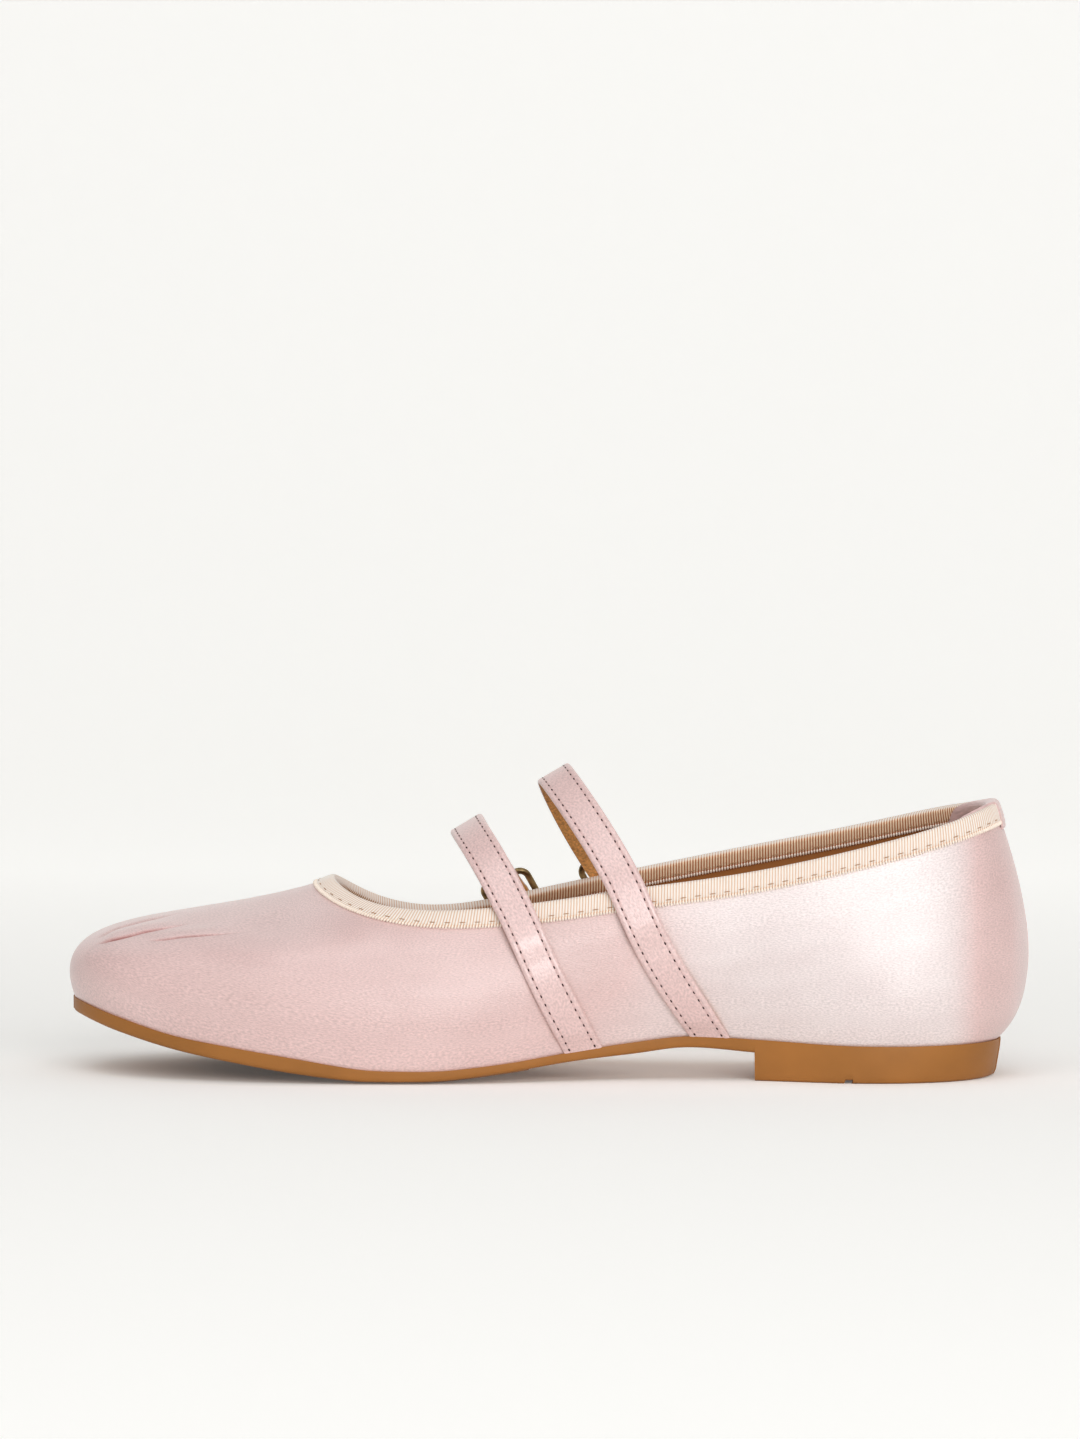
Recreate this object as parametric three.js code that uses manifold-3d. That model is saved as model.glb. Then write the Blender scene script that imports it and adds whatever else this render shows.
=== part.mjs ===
import * as THREE from 'three';
import Module from 'manifold-3d';

const wasm = await Module();
wasm.setup();

// A right ballet flat with two buckled straps, in millimetres.
// s runs from the back of the heel to the toe, y to the inner side of the foot, z up from the floor.
const ORIGIN_S = 125.12;
const ORIGIN_Y = -0.57;
const WALL = 1.6;
const GAP = 0.3;
const RIBS_AROUND = 88;
const ROWS_UP = 11;

const SOLE_LIP = 0.5;
const SOLE_EDGE_ROUND = 1.1;
const PAD_START = 128;
const PAD_END = 197.6;
const PAD_PROUD = 0.6;
const PAD_INSET = 1.2;
const HEEL_BREAST = 70.4;
const HEEL_BACK_RAKE = 1.2;
const HEEL_GROOVE_S = 45.6;
const HEEL_GROOVE_WIDTH = 2;
const HEEL_GROOVE_DEPTH = 0.8;

const INSOLE_THICK = 2.2;
const INSOLE_INSET = 2.5;

const BINDING_THICK = 0.7;
const BINDING_HEIGHT = 5.7;
const RIM_FINISH = GAP + BINDING_THICK;
const TAB_HALF_WIDTH = 6.2;
const TAB_THICK = 0.8;
const TAB_HEIGHT = 6.6;

const STRAP_WIDTH = 9.4;
const STRAP_THICK = 1.4;
const STRAP_TAIL = 21;
const STRAP_SLACK = 0.3;
const BUCKLE_ROD = 0.9;
const BUCKLE_BELOW_RIM = 7.5;
const BUCKLE_ABOVE_RIM = 4;
const BUCKLE_WIDTH = 12.6;
const BUCKLE_CORNER = 2.4;
const PIVOT_LIFT = 2.3;
const PRONG_ROD = 0.6;

// Side view of the sole: height of its top face, under the upper, and of its lower edge.
const SOLE_COLUMNS = ['s', 'top', 'bottom'];
const SOLE_ROWS = [
  [6, 9.6, 5.0],
  [45, 9.6, 5.8],
  [70.4, 10.6, 7.2],
  [88, 11.2, 8.3],
  [101, 9.8, 6.8],
  [117, 7.6, 5.1],
  [133, 5.1, 2.7],
  [148, 3.5, 0.9],
  [154, 3.3, 0.6],
  [166, 3.5, 0.6],
  [172, 4.0, 0.8],
  [187, 6.4, 2.5],
  [203, 8.9, 5.0],
  [219, 11.6, 8.0],
  [234.5, 15.8, 12.0],
  [245, 18.6, 15.0],
  [250, 19.2, 15.8],
];

// Ribs of the last, from the centre back round the inner side to the toe and home along the outer side.
// Each rib rises from the feather line (fs, fy) to the topline (ts, ty), whose height tz is that of the
// finished rim with its binding. It leaves the feather line by a handle that goes up and out at the plan
// angle fa, and meets the topline by one that drops and runs out at the plan angle ta.
const RIB_COLUMNS = ['fs', 'fy', 'up', 'out', 'fa', 'ts', 'ty', 'tz', 'drop', 'run', 'ta'];
const RIB_ROWS = [
  [8, 0, 11, 11.4, 180, 9.2, 0, 70.6, 25.5, 9.5, 180],
  [13.2, 15.2, 12, 10.5, 143, 13.8, 12.6, 69.4, 25, 8.4, 140],
  [27, 24.8, 14, 9, 105, 26, 21, 65.8, 23, 6.6, 105],
  [48, 26.6, 15, 8.4, 92, 47, 25.6, 60.2, 22, 5.6, 92],
  [75, 20.8, 15, 9, 90, 74, 27.2, 54.8, 19, 3.6, 90],
  [103, 22.6, 15, 7.8, 90, 100, 28.2, 50.2, 17, 3.8, 90],
  [130, 31.2, 16, 5.4, 90, 124, 28.8, 46.2, 16, 6, 88],
  [155, 36.8, 18, 5, 90, 144, 28, 43.7, 15, 10, 78],
  [180, 37.3, 19, 5, 88, 158, 25.6, 43.4, 12, 14, 60],
  [203, 34.8, 19.5, 5.5, 80, 168, 21.3, 44.8, 10.5, 20, 42],
  [223, 29.4, 20.5, 6.6, 62, 175, 15.2, 47.4, 11, 27, 26],
  [240, 19.2, 22.6, 8.2, 38, 179.7, 8, 50, 12.4, 33, 12],
  [248.3, 0, 25, 9, 0, 181, 0, 51, 12.2, 35, 0],
  [240, -20.4, 22.6, 8.2, -38, 179.5, -8, 49.6, 12.4, 33, -12],
  [223, -31, 20.5, 6.6, -62, 174.7, -15.2, 46.2, 11, 27, -26],
  [203, -36, 19.5, 5.5, -80, 167.4, -21.3, 42.9, 10.5, 20, -42],
  [180, -38.6, 19, 5, -88, 157.4, -25.8, 41.2, 12, 14, -60],
  [155, -38.2, 18, 5, -90, 143.6, -28.2, 42.4, 14, 10.4, -78],
  [130, -34.2, 16, 4.6, -90, 124, -29, 46.5, 15, 6.4, -88],
  [103, -29.8, 15, 4.6, -90, 100, -28.2, 51.6, 16, 4, -90],
  [75, -27.8, 15, 5.6, -90, 74, -27.2, 57, 19, 4, -90],
  [48, -27, 15, 8, -92, 47, -25.6, 62.5, 22, 5.6, -92],
  [27, -24.8, 14, 9, -105, 26, -21, 67.4, 23, 6.6, -105],
  [13.2, -15.2, 12, 10.5, -143, 13.8, -12.6, 69.9, 25, 8.4, -140],
];

// Straps: where each leaves the sole and crosses the topline on the inner side, how far it bows back
// between the two, its highest point, and where it crosses the topline and meets the sole outside.
const STRAP_COLUMNS = ['name', 'soleIn', 'rimIn', 'bowBack', 'topS', 'topZ', 'rimOut', 'soleOut'];
const STRAP_ROWS = [
  ['front', 113, 131.6, 1.2, 146, 64, 136.6, 116],
  ['rear', 81, 102.4, 0, 123.2, 77.2, 111, 89],
];

const SATIN = { color: 0xe6cac6, roughness: 0.38, metalness: 0 };
const RIBBON = { color: 0xf6e2d2, roughness: 0.75, metalness: 0 };
const RUBBER = { color: 0xa06a30, roughness: 0.55, metalness: 0 };
const LEATHER = { color: 0xa86a38, roughness: 0.6, metalness: 0 };
const BRASS = { color: 0x7a6440, roughness: 0.35, metalness: 0.9 };

const shoe = new THREE.Group();
shoe.name = 'ballet_flat';
shoe.position.set(-ORIGIN_S, -ORIGIN_Y, 0);

function table(columns, rows) {
  return rows.map((row) => Object.fromEntries(columns.map((name, i) => [name, row[i]])));
}

function vec(x, y, z) {
  return new THREE.Vector3(x, y, z);
}

function mix(a, b, t) {
  return a + (b - a) * t;
}

function smooth(from, to, x) {
  return THREE.MathUtils.smoothstep((x - from) / (to - from), 0, 1);
}

// A smooth closed curve through values spaced evenly round the shoe.
function closedSpline(values) {
  const n = values.length;
  let knots = values.slice();
  for (let pass = 0; pass < 60; pass += 1) {
    const last = knots;
    knots = values.map((v, i) => (6 * v - last[(i + n - 1) % n] - last[(i + 1) % n]) / 4);
  }
  return (u) => {
    const x = (u - Math.floor(u)) * n;
    const k = Math.floor(x);
    const f = x - k;
    const at = (j) => knots[(k + j + n) % n];
    const low = (1 - f) ** 3 * at(-1) + (3 * f ** 3 - 6 * f ** 2 + 4) * at(0);
    const high = (-3 * f ** 3 + 3 * f ** 2 + 3 * f + 1) * at(1) + f ** 3 * at(2);
    return (low + high) / 6;
  };
}

// A smooth open curve of one column of a table over its first column.
function openCurve(rows, key) {
  const x = rows.map((row) => row.s);
  const y = rows.map((row) => row[key]);
  const slope = x.map((_, i) => {
    const a = Math.max(0, i - 1);
    const b = Math.min(x.length - 1, i + 1);
    return (y[b] - y[a]) / (x[b] - x[a]);
  });
  return (at) => {
    const t = Math.min(Math.max(at, x[0]), x[x.length - 1]);
    let i = 0;
    while (i < x.length - 2 && t > x[i + 1]) {
      i += 1;
    }
    const h = x[i + 1] - x[i];
    const f = (t - x[i]) / h;
    const start = (1 + 2 * f) * (1 - f) ** 2 * y[i] + f * (1 - f) ** 2 * h * slope[i];
    const end = f ** 2 * (3 - 2 * f) * y[i + 1] + f ** 2 * (f - 1) * h * slope[i + 1];
    return start + end;
  };
}

const soleTable = table(SOLE_COLUMNS, SOLE_ROWS);
const soleTop = openCurve(soleTable, 'top');
const soleBottom = openCurve(soleTable, 'bottom');

// The four corners of every rib, joined round the shoe.
const ribs = table(RIB_COLUMNS, RIB_ROWS).map((rib) => {
  const foot = vec(rib.fs, rib.fy, soleTop(rib.fs) + GAP);
  const top = vec(rib.ts, rib.ty, rib.tz - RIM_FINISH);
  const fa = THREE.MathUtils.degToRad(rib.fa);
  const ta = THREE.MathUtils.degToRad(rib.ta);
  const low = foot.clone().add(vec(rib.out * Math.cos(fa), rib.out * Math.sin(fa), rib.up));
  const high = top.clone().add(vec(rib.run * Math.cos(ta), rib.run * Math.sin(ta), -rib.drop));
  return [foot, low, high, top];
});
const corners = [0, 1, 2, 3].map((i) => ['x', 'y', 'z'].map((axis) => (
  closedSpline(ribs.map((rib) => rib[i][axis])))));

function cornerAt(i, u) {
  return vec(corners[i][0](u), corners[i][1](u), corners[i][2](u));
}

// The outer face of the upper: u goes round the shoe, v from the feather line to the topline.
function skin(u, v) {
  const weights = [(1 - v) ** 3, 3 * v * (1 - v) ** 2, 3 * v ** 2 * (1 - v), v ** 3];
  const point = vec(0, 0, 0);
  weights.forEach((w, i) => point.addScaledVector(cornerAt(i, u), w));
  point.z += (1 - v) ** 6 * (soleTop(point.x) + GAP - cornerAt(0, u).z);
  return point;
}

function skinSlopes(u, v) {
  const du = 1e-4;
  const dv = 1e-4;
  const alongU = skin(u + du, v).sub(skin(u - du, v)).divideScalar(2 * du);
  const alongV = skin(u, v + dv).sub(skin(u, v - dv)).divideScalar(2 * dv);
  return [alongU, alongV];
}

function skinNormal(u, v) {
  const [alongU, alongV] = skinSlopes(u, v);
  return alongV.cross(alongU).normalize();
}

function offSkin(u, v, lift) {
  return skin(u, v).addScaledVector(skinNormal(u, v), lift);
}

// The v that lies a given distance below the topline on rib u.
function belowRim(u, distance) {
  let v = 1;
  let left = distance;
  let last = skin(u, v);
  while (left > 0 && v > 0) {
    const next = skin(u, v - 0.005);
    left -= next.distanceTo(last);
    last = next;
    v -= 0.005;
  }
  return v;
}

// The u on one side of the shoe whose feather line or topline passes the given s.
function ribAt(corner, s, outer) {
  let [back, front] = outer ? [1, 0.5] : [0, 0.5];
  for (let pass = 0; pass < 50; pass += 1) {
    const middle = (back + front) / 2;
    if (corners[corner][0](middle) < s) {
      back = middle;
    } else {
      front = middle;
    }
  }
  return (back + front) / 2;
}

function meshGeometry(points, faces) {
  const geometry = new THREE.BufferGeometry();
  const flat = points.flatMap((p) => [p.x, p.y, p.z]);
  geometry.setAttribute('position', new THREE.Float32BufferAttribute(flat, 3));
  geometry.setIndex(faces.flat());
  return geometry;
}

// A closed sheet between two grids of points, outer face first. A wrapped sheet joins its last row to
// its first.
function shell(outer, inner, wrapped) {
  const rows = outer.length;
  const cols = outer[0].length;
  const points = [...outer.flat(), ...inner.flat()];
  const far = rows * cols;
  const at = (i, j) => (i % rows) * cols + j;
  const faces = [];
  const quad = (a, b, c, d) => faces.push([a, b, c], [a, c, d]);
  const steps = wrapped ? rows : rows - 1;
  for (let i = 0; i < steps; i += 1) {
    for (let j = 0; j < cols - 1; j += 1) {
      quad(at(i, j), at(i, j + 1), at(i + 1, j + 1), at(i + 1, j));
      quad(far + at(i, j), far + at(i + 1, j), far + at(i + 1, j + 1), far + at(i, j + 1));
    }
    quad(at(i, 0), at(i + 1, 0), far + at(i + 1, 0), far + at(i, 0));
    quad(at(i + 1, cols - 1), at(i, cols - 1), far + at(i, cols - 1), far + at(i + 1, cols - 1));
  }
  if (!wrapped) {
    const end = rows - 1;
    for (let j = 0; j < cols - 1; j += 1) {
      quad(at(0, j + 1), at(0, j), far + at(0, j), far + at(0, j + 1));
      quad(at(end, j), at(end, j + 1), far + at(end, j + 1), far + at(end, j));
    }
  }
  return meshGeometry(points, faces);
}

// A solid through a row of closed rings. Its ends are closed from their middles, or it joins up.
function loft(rings, joined) {
  const count = rings[0].length;
  const points = rings.flat();
  const faces = [];
  const at = (i, j) => (i % rings.length) * count + (j % count);
  const steps = joined ? rings.length : rings.length - 1;
  for (let i = 0; i < steps; i += 1) {
    for (let j = 0; j < count; j += 1) {
      faces.push([at(i, j), at(i, j + 1), at(i + 1, j + 1)], [at(i, j), at(i + 1, j + 1), at(i + 1, j)]);
    }
  }
  if (!joined) {
    [0, rings.length - 1].forEach((i) => {
      const middle = points.length;
      points.push(rings[i].reduce((sum, p) => sum.add(p), vec(0, 0, 0)).divideScalar(count));
      for (let j = 0; j < count; j += 1) {
        faces.push(i === 0 ? [middle, at(i, j + 1), at(i, j)] : [middle, at(i, j), at(i, j + 1)]);
      }
    });
  }
  return meshGeometry(points, faces);
}

function solid(geometry) {
  const mesh = new wasm.Mesh({
    numProp: 3,
    vertProperties: new Float32Array(geometry.attributes.position.array),
    triVerts: new Uint32Array(geometry.index.array),
  });
  mesh.merge();
  const body = new wasm.Manifold(mesh);
  return body.volume() < 0 ? solid(flipped(geometry)) : body;
}

function flipped(geometry) {
  const index = Array.from(geometry.index.array);
  const turned = geometry.clone();
  for (let i = 0; i < index.length; i += 3) {
    [index[i + 1], index[i + 2]] = [index[i + 2], index[i + 1]];
  }
  turned.setIndex(index);
  return turned;
}

function fromSolid(body) {
  const mesh = body.getMesh();
  const geometry = new THREE.BufferGeometry();
  const places = new Float32Array(mesh.numVert * 3);
  for (let i = 0; i < mesh.numVert; i += 1) {
    for (let k = 0; k < 3; k += 1) {
      places[i * 3 + k] = mesh.vertProperties[i * mesh.numProp + k];
    }
  }
  geometry.setAttribute('position', new THREE.BufferAttribute(places, 3));
  geometry.setIndex(Array.from(mesh.triVerts));
  return geometry;
}

function addPiece(name, geometry, look) {
  geometry.computeVertexNormals();
  const mesh = new THREE.Mesh(geometry, new THREE.MeshStandardMaterial(look));
  mesh.name = name;
  shoe.add(mesh);
  return mesh;
}

function steps(count, maker) {
  return Array.from({ length: count }, (_, i) => maker(i));
}

// Plan outline of the feather line, as half widths at s on each side.
function halfWidth(s, outer) {
  return Math.abs(corners[0][1](ribAt(0, s, outer)));
}

const SOLE_HEEL_S = corners[0][0](0);
const SOLE_TOE_S = corners[0][0](0.5);

// Stations from end to end that crowd together towards the round ends.
function stations(from, to, count) {
  return steps(count, (i) => mix(from, to, (1 - Math.cos((Math.PI * (i + 0.35)) / (count - 0.3))) / 2));
}

// One cross section of the sole, with its lower edges rounded.
function soleRing(s, lip, top, bottom, round) {
  const outer = -halfWidth(s, true) - lip;
  const inner = halfWidth(s, false) + lip;
  const soft = Math.min(round, (inner - outer) / 6);
  return [
    vec(s, outer, top),
    vec(s, outer, bottom + soft),
    vec(s, outer + 0.3 * soft, bottom + 0.3 * soft),
    vec(s, outer + soft, bottom),
    vec(s, inner - soft, bottom),
    vec(s, inner - 0.3 * soft, bottom + 0.3 * soft),
    vec(s, inner, bottom + soft),
    vec(s, inner, top),
  ];
}

function makeSole() {
  const plate = solid(loft(stations(SOLE_HEEL_S + 0.2, SOLE_TOE_S, 46).map((s) => (
    soleRing(s, SOLE_LIP, soleTop(s), soleBottom(s), SOLE_EDGE_ROUND))), false));
  const pad = solid(loft(steps(16, (i) => mix(PAD_START, PAD_END, i / 15)).map((s) => (
    soleRing(s, -PAD_INSET, soleBottom(s) + 1, Math.max(0, soleBottom(s) - PAD_PROUD), 0.3))), false));
  // The heel lift stands straight at its breast and rakes in a little at the back.
  const sides = stations(SOLE_HEEL_S + 0.2, HEEL_BREAST, 20);
  const outline = [...sides.map((s) => [s, halfWidth(s, false)]),
    ...sides.slice().reverse().map((s) => [s, -halfWidth(s, true)])];
  const levels = [[8.4, 0], [1.2, HEEL_BACK_RAKE], [0.35, HEEL_BACK_RAKE + 0.35], [0, HEEL_BACK_RAKE + 1.1]];
  const lift = solid(loft(levels.map(([z, inset]) => outline.map(([s, y]) => {
    const shrink = 1 - inset / (HEEL_BREAST - SOLE_HEEL_S);
    return vec(HEEL_BREAST - (HEEL_BREAST - s) * shrink, y * (1 - inset / 40), z);
  })), false));
  const groove = wasm.Manifold.cube([HEEL_GROOVE_WIDTH, 90, 2 * HEEL_GROOVE_DEPTH], true)
    .translate([HEEL_GROOVE_S, 0, 0]);
  return fromSolid(plate.add(pad).add(lift).subtract(groove));
}

function makeInsole() {
  const from = SOLE_HEEL_S + INSOLE_INSET;
  const to = SOLE_TOE_S - INSOLE_INSET;
  const inset = (width) => width - INSOLE_INSET * Math.min(1, width / 8);
  const grid = (lift) => stations(from, to, 34).map((s) => {
    const edge = mix(SOLE_HEEL_S, SOLE_TOE_S, (s - from) / (to - from));
    const outer = -inset(halfWidth(edge, true));
    const inner = inset(halfWidth(edge, false));
    return steps(4, (j) => vec(s, mix(outer, inner, j / 3), soleTop(s) + lift));
  });
  return shell(grid(GAP + INSOLE_THICK), grid(GAP), false);
}

function makeUpper() {
  const grid = (lift) => steps(RIBS_AROUND, (i) => steps(ROWS_UP + 1, (j) => (
    offSkin(i / RIBS_AROUND, j / ROWS_UP, lift))));
  return shell(grid(0), grid(-WALL), true);
}

// One section of a ribbon folded over the topline: down the outside, over the rim and down the inside.
function foldedSection(u, height, clear) {
  const low = belowRim(u, height);
  const outside = [low, (low + 1) / 2, 1].map((v) => offSkin(u, v, clear));
  const inside = [1, (low + 1) / 2, low].map((v) => offSkin(u, v, -WALL - clear));
  const up = skinSlopes(u, 1)[1].normalize();
  const over = [outside[2], inside[0]].map((p) => p.clone().addScaledVector(up, clear));
  return [...outside.slice(0, 2), ...over, ...inside.slice(1)];
}

function makeBinding() {
  const grid = (clear) => steps(RIBS_AROUND, (i) => (
    foldedSection(i / RIBS_AROUND, BINDING_HEIGHT, clear)));
  return shell(grid(GAP + BINDING_THICK), grid(GAP), true);
}

function makeBackTab() {
  const around = 1 / RIBS_AROUND;
  const half = TAB_HALF_WIDTH / skin(around, 1).distanceTo(skin(0, 1)) * around;
  const clear = 2 * GAP + BINDING_THICK;
  const grid = (lift) => steps(7, (i) => foldedSection(mix(-half, half, i / 6), TAB_HEIGHT, lift));
  return shell(grid(clear + TAB_THICK), grid(clear), false);
}

// A strap section: its inner and outer rows of points across the width.
function strapSection(place) {
  const across = [-1, 0, 1].map((k) => (k * STRAP_WIDTH) / 2);
  return {
    inner: across.map((d) => place(d, 0)),
    outer: across.map((d) => place(d, STRAP_THICK)),
  };
}

// A place on the skin at a distance d across the strap that follows the path (u, v).
function acrossSkin(path, t, d, lift) {
  const [u, v] = path(t);
  const [u2, v2] = path(t + 0.01);
  const tangent = skin(u2, v2).sub(skin(u, v)).normalize();
  const normal = skinNormal(u, v);
  const square = normal.clone().cross(tangent).normalize();
  const [alongU, alongV] = skinSlopes(u, v);
  // Near the sole the section turns level, so that the strap's end lies along the feather line.
  const level = alongU.clone().normalize();
  const wide = square.clone().lerp(level.multiplyScalar(Math.sign(level.dot(square))), 1 - smooth(0, 0.3, v));
  wide.divideScalar(wide.dot(square));
  const uu = alongU.dot(alongU);
  const uv = alongU.dot(alongV);
  const vv = alongV.dot(alongV);
  const du = (wide.dot(alongU) * vv - wide.dot(alongV) * uv) / (uu * vv - uv * uv);
  const dv = (wide.dot(alongV) * uu - wide.dot(alongU) * uv) / (uu * vv - uv * uv);
  const beyond = v + dv * d > 1 ? v + dv * d - 1 : 0;
  const at = [u + du * d, v + dv * d - beyond];
  return offSkin(at[0], at[1], lift).addScaledVector(skinSlopes(at[0], 1)[1], beyond);
}

function makeStrap(row) {
  const inFoot = ribAt(0, row.soleIn, false);
  const inRim = ribAt(3, row.rimIn, false);
  const outFoot = ribAt(0, row.soleOut, true);
  const outRim = ribAt(3, row.rimOut, true);
  const bowBack = inRim - ribAt(3, row.rimIn - row.bowBack, false);
  const upPath = (t) => [mix(inFoot, inRim, t) - bowBack * 4 * t * (1 - t), t];
  const downPath = (t) => [mix(outFoot, outRim, t), t];
  const overBinding = 2 * GAP + BINDING_THICK + STRAP_SLACK;

  // Up the inner side, close to the skin and then over the binding.
  const climb = steps(14, (i) => {
    const t = mix(0.012, 1, i / 13);
    const lift = GAP + (overBinding - GAP) * smooth(0.62, 0.82, t);
    return strapSection((d, h) => acrossSkin(upPath, t, d, lift + h));
  });

  // Down the outer side: from the rim over the buckle's pivot bar to the loose tail.
  const rimV = belowRim(outRim, BUCKLE_BELOW_RIM);
  const tailV = belowRim(outRim, STRAP_TAIL);
  const overPivot = PIVOT_LIFT + BUCKLE_ROD + GAP + STRAP_SLACK;
  const overStrap = 2 * GAP + STRAP_THICK;
  const drop = steps(9, (i) => {
    const t = mix(1, tailV, i / 8);
    const rise = mix(overBinding, overPivot, smooth(1, rimV + 0.02, t));
    const lift = mix(rise, overStrap, smooth(rimV - 0.02, tailV + 0.05, t));
    return strapSection((d, h) => acrossSkin(downPath, t, -d, lift + h));
  });

  // Across the instep in one bow between the two sides.
  const middle = (section) => section.inner[1].clone().add(section.outer[1]).multiplyScalar(0.5);
  const wide = (section) => section.inner[2].clone().sub(section.inner[0]).normalize();
  const start = middle(climb[climb.length - 1]);
  const startWay = start.clone().sub(middle(climb[climb.length - 2])).normalize();
  const end = middle(drop[0]);
  const endWay = middle(drop[1]).sub(end).normalize();
  const top = vec(row.topS, 0, row.topZ);
  const flat = top.clone().sub(start).cross(end.clone().sub(start)).normalize();
  if (flat.dot(wide(climb[climb.length - 1])) < 0) {
    flat.negate();
  }
  const topWay = end.clone().sub(start).normalize();
  const reachIn = top.distanceTo(start) * 0.4;
  const reachOut = top.distanceTo(end) * 0.4;
  const bowIn = new THREE.CubicBezierCurve3(start, start.clone().addScaledVector(startWay, reachIn),
    top.clone().addScaledVector(topWay, -reachIn), top);
  const bowOut = new THREE.CubicBezierCurve3(top, top.clone().addScaledVector(topWay, reachOut),
    end.clone().addScaledVector(endWay, -reachOut), end);
  const bow = steps(21, (i) => {
    const t = (i + 1) / 22;
    const half = t < 0.5 ? bowIn : bowOut;
    const f = t < 0.5 ? 2 * t : 2 * t - 1;
    const centre = half.getPoint(f);
    const way = half.getTangent(f);
    const edge = t < 0.5
      ? wide(climb[climb.length - 1]).lerp(flat, smooth(0, 1, f))
      : flat.clone().lerp(wide(drop[0]), smooth(0, 1, f));
    edge.addScaledVector(way, -edge.dot(way)).normalize();
    const normal = way.clone().cross(edge).normalize();
    return strapSection((d, h) => (
      centre.clone().addScaledVector(edge, d).addScaledVector(normal, h - STRAP_THICK / 2)));
  });
  const sections = [...climb, ...bow, ...drop];
  const geometry = shell(sections.map((s) => s.outer), sections.map((s) => s.inner), false);

  // The short strap that holds the buckle runs up from the sole under the tail.
  const anchorV = belowRim(outRim, BUCKLE_BELOW_RIM + BUCKLE_ROD + GAP + 0.3);
  const anchor = steps(10, (i) => {
    const t = mix(0.012, anchorV, i / 9);
    return strapSection((d, h) => acrossSkin(downPath, t, -d, GAP + h));
  });
  const anchorGeometry = shell(anchor.map((s) => s.inner), anchor.map((s) => s.outer), false);

  // The buckle: a rounded frame whose pivot bar lies under the strap and whose front bar lies over it.
  const pivot = acrossSkin(downPath, rimV, 0, PIVOT_LIFT);
  const bowAt = steps(60, (i) => bowOut.getPoint(1 - i / 120)).find((p) => (
    p.distanceTo(end) > BUCKLE_ABOVE_RIM));
  const out = endWay.clone().cross(wide(drop[0])).normalize();
  const front = bowAt.clone().addScaledVector(out, STRAP_THICK / 2 + GAP + BUCKLE_ROD + STRAP_SLACK);
  const lengthWay = front.clone().sub(pivot);
  const frameLength = lengthWay.length();
  lengthWay.normalize();
  const widthWay = wide(drop[0]);
  widthWay.addScaledVector(lengthWay, -widthWay.dot(lengthWay)).normalize();
  const outWay = widthWay.clone().cross(lengthWay).normalize();
  if (outWay.y > 0) {
    outWay.negate();
  }
  const centre = pivot.clone().add(front).multiplyScalar(0.5);
  const place = (a, b, c) => centre.clone().addScaledVector(widthWay, a)
    .addScaledVector(lengthWay, b).addScaledVector(outWay, c);
  const rod = (path, radius, joined, sides) => loft(path.map(([p, way]) => {
    const side = way.clone().cross(outWay).normalize();
    const up = side.clone().cross(way).normalize();
    return steps(sides, (k) => {
      const angle = (2 * Math.PI * k) / sides;
      return p.clone().addScaledVector(side, radius * Math.cos(angle))
        .addScaledVector(up, radius * Math.sin(angle));
    });
  }), joined);
  const a = BUCKLE_WIDTH / 2 - BUCKLE_CORNER;
  const b = frameLength / 2 - BUCKLE_CORNER;
  const corner = (cx, cy, turn) => steps(5, (k) => {
    const angle = turn + (k / 4) * (Math.PI / 2);
    const way = widthWay.clone().multiplyScalar(-Math.sin(angle)).addScaledVector(lengthWay, Math.cos(angle));
    return [place(cx + BUCKLE_CORNER * Math.cos(angle), cy + BUCKLE_CORNER * Math.sin(angle), 0), way];
  });
  const loop = [...corner(a, b, 0), ...corner(-a, b, Math.PI / 2), ...corner(-a, -b, Math.PI),
    ...corner(a, -b, 1.5 * Math.PI)];
  const buckle = solid(rod(loop, BUCKLE_ROD, true, 8));

  // The prong rises from beside the pivot bar through a hole in the strap and rests on the front bar.
  const rest = BUCKLE_ROD + PRONG_ROD + GAP;
  const half = frameLength / 2;
  const prongLine = new THREE.CatmullRomCurve3([
    place(0, -half + rest, 0),
    place(0, -half + rest + 1.2, 0.6),
    place(0, half - 2.6, rest + 0.5),
    place(0, half, rest + 0.1),
    place(0, half + 1.7, rest - 0.3),
  ]);
  const prongPath = (count) => steps(count, (i) => [prongLine.getPoint(i / (count - 1)),
    prongLine.getTangent(i / (count - 1))]);
  const prong = solid(rod(prongPath(11), PRONG_ROD, false, 8));
  const hole = solid(rod(prongPath(11), PRONG_ROD + 0.35, false, 8));
  const strap = solid(geometry).subtract(hole);

  addPiece(`strap_${row.name}`, fromSolid(strap), SATIN);
  addPiece(`buckle_strap_${row.name}`, fromSolid(solid(anchorGeometry)), SATIN);
  addPiece(`buckle_${row.name}`, fromSolid(buckle), BRASS);
  addPiece(`buckle_prong_${row.name}`, fromSolid(prong), BRASS);
}

addPiece('outsole', makeSole(), RUBBER);
addPiece('insole', fromSolid(solid(makeInsole())), LEATHER);
addPiece('upper', fromSolid(solid(makeUpper())), SATIN);
addPiece('collar_binding', fromSolid(solid(makeBinding())), RIBBON);
addPiece('back_tab', fromSolid(solid(makeBackTab())), SATIN);
table(STRAP_COLUMNS, STRAP_ROWS).forEach(makeStrap);

export default shoe;
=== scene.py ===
import math
from functools import partial

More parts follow.
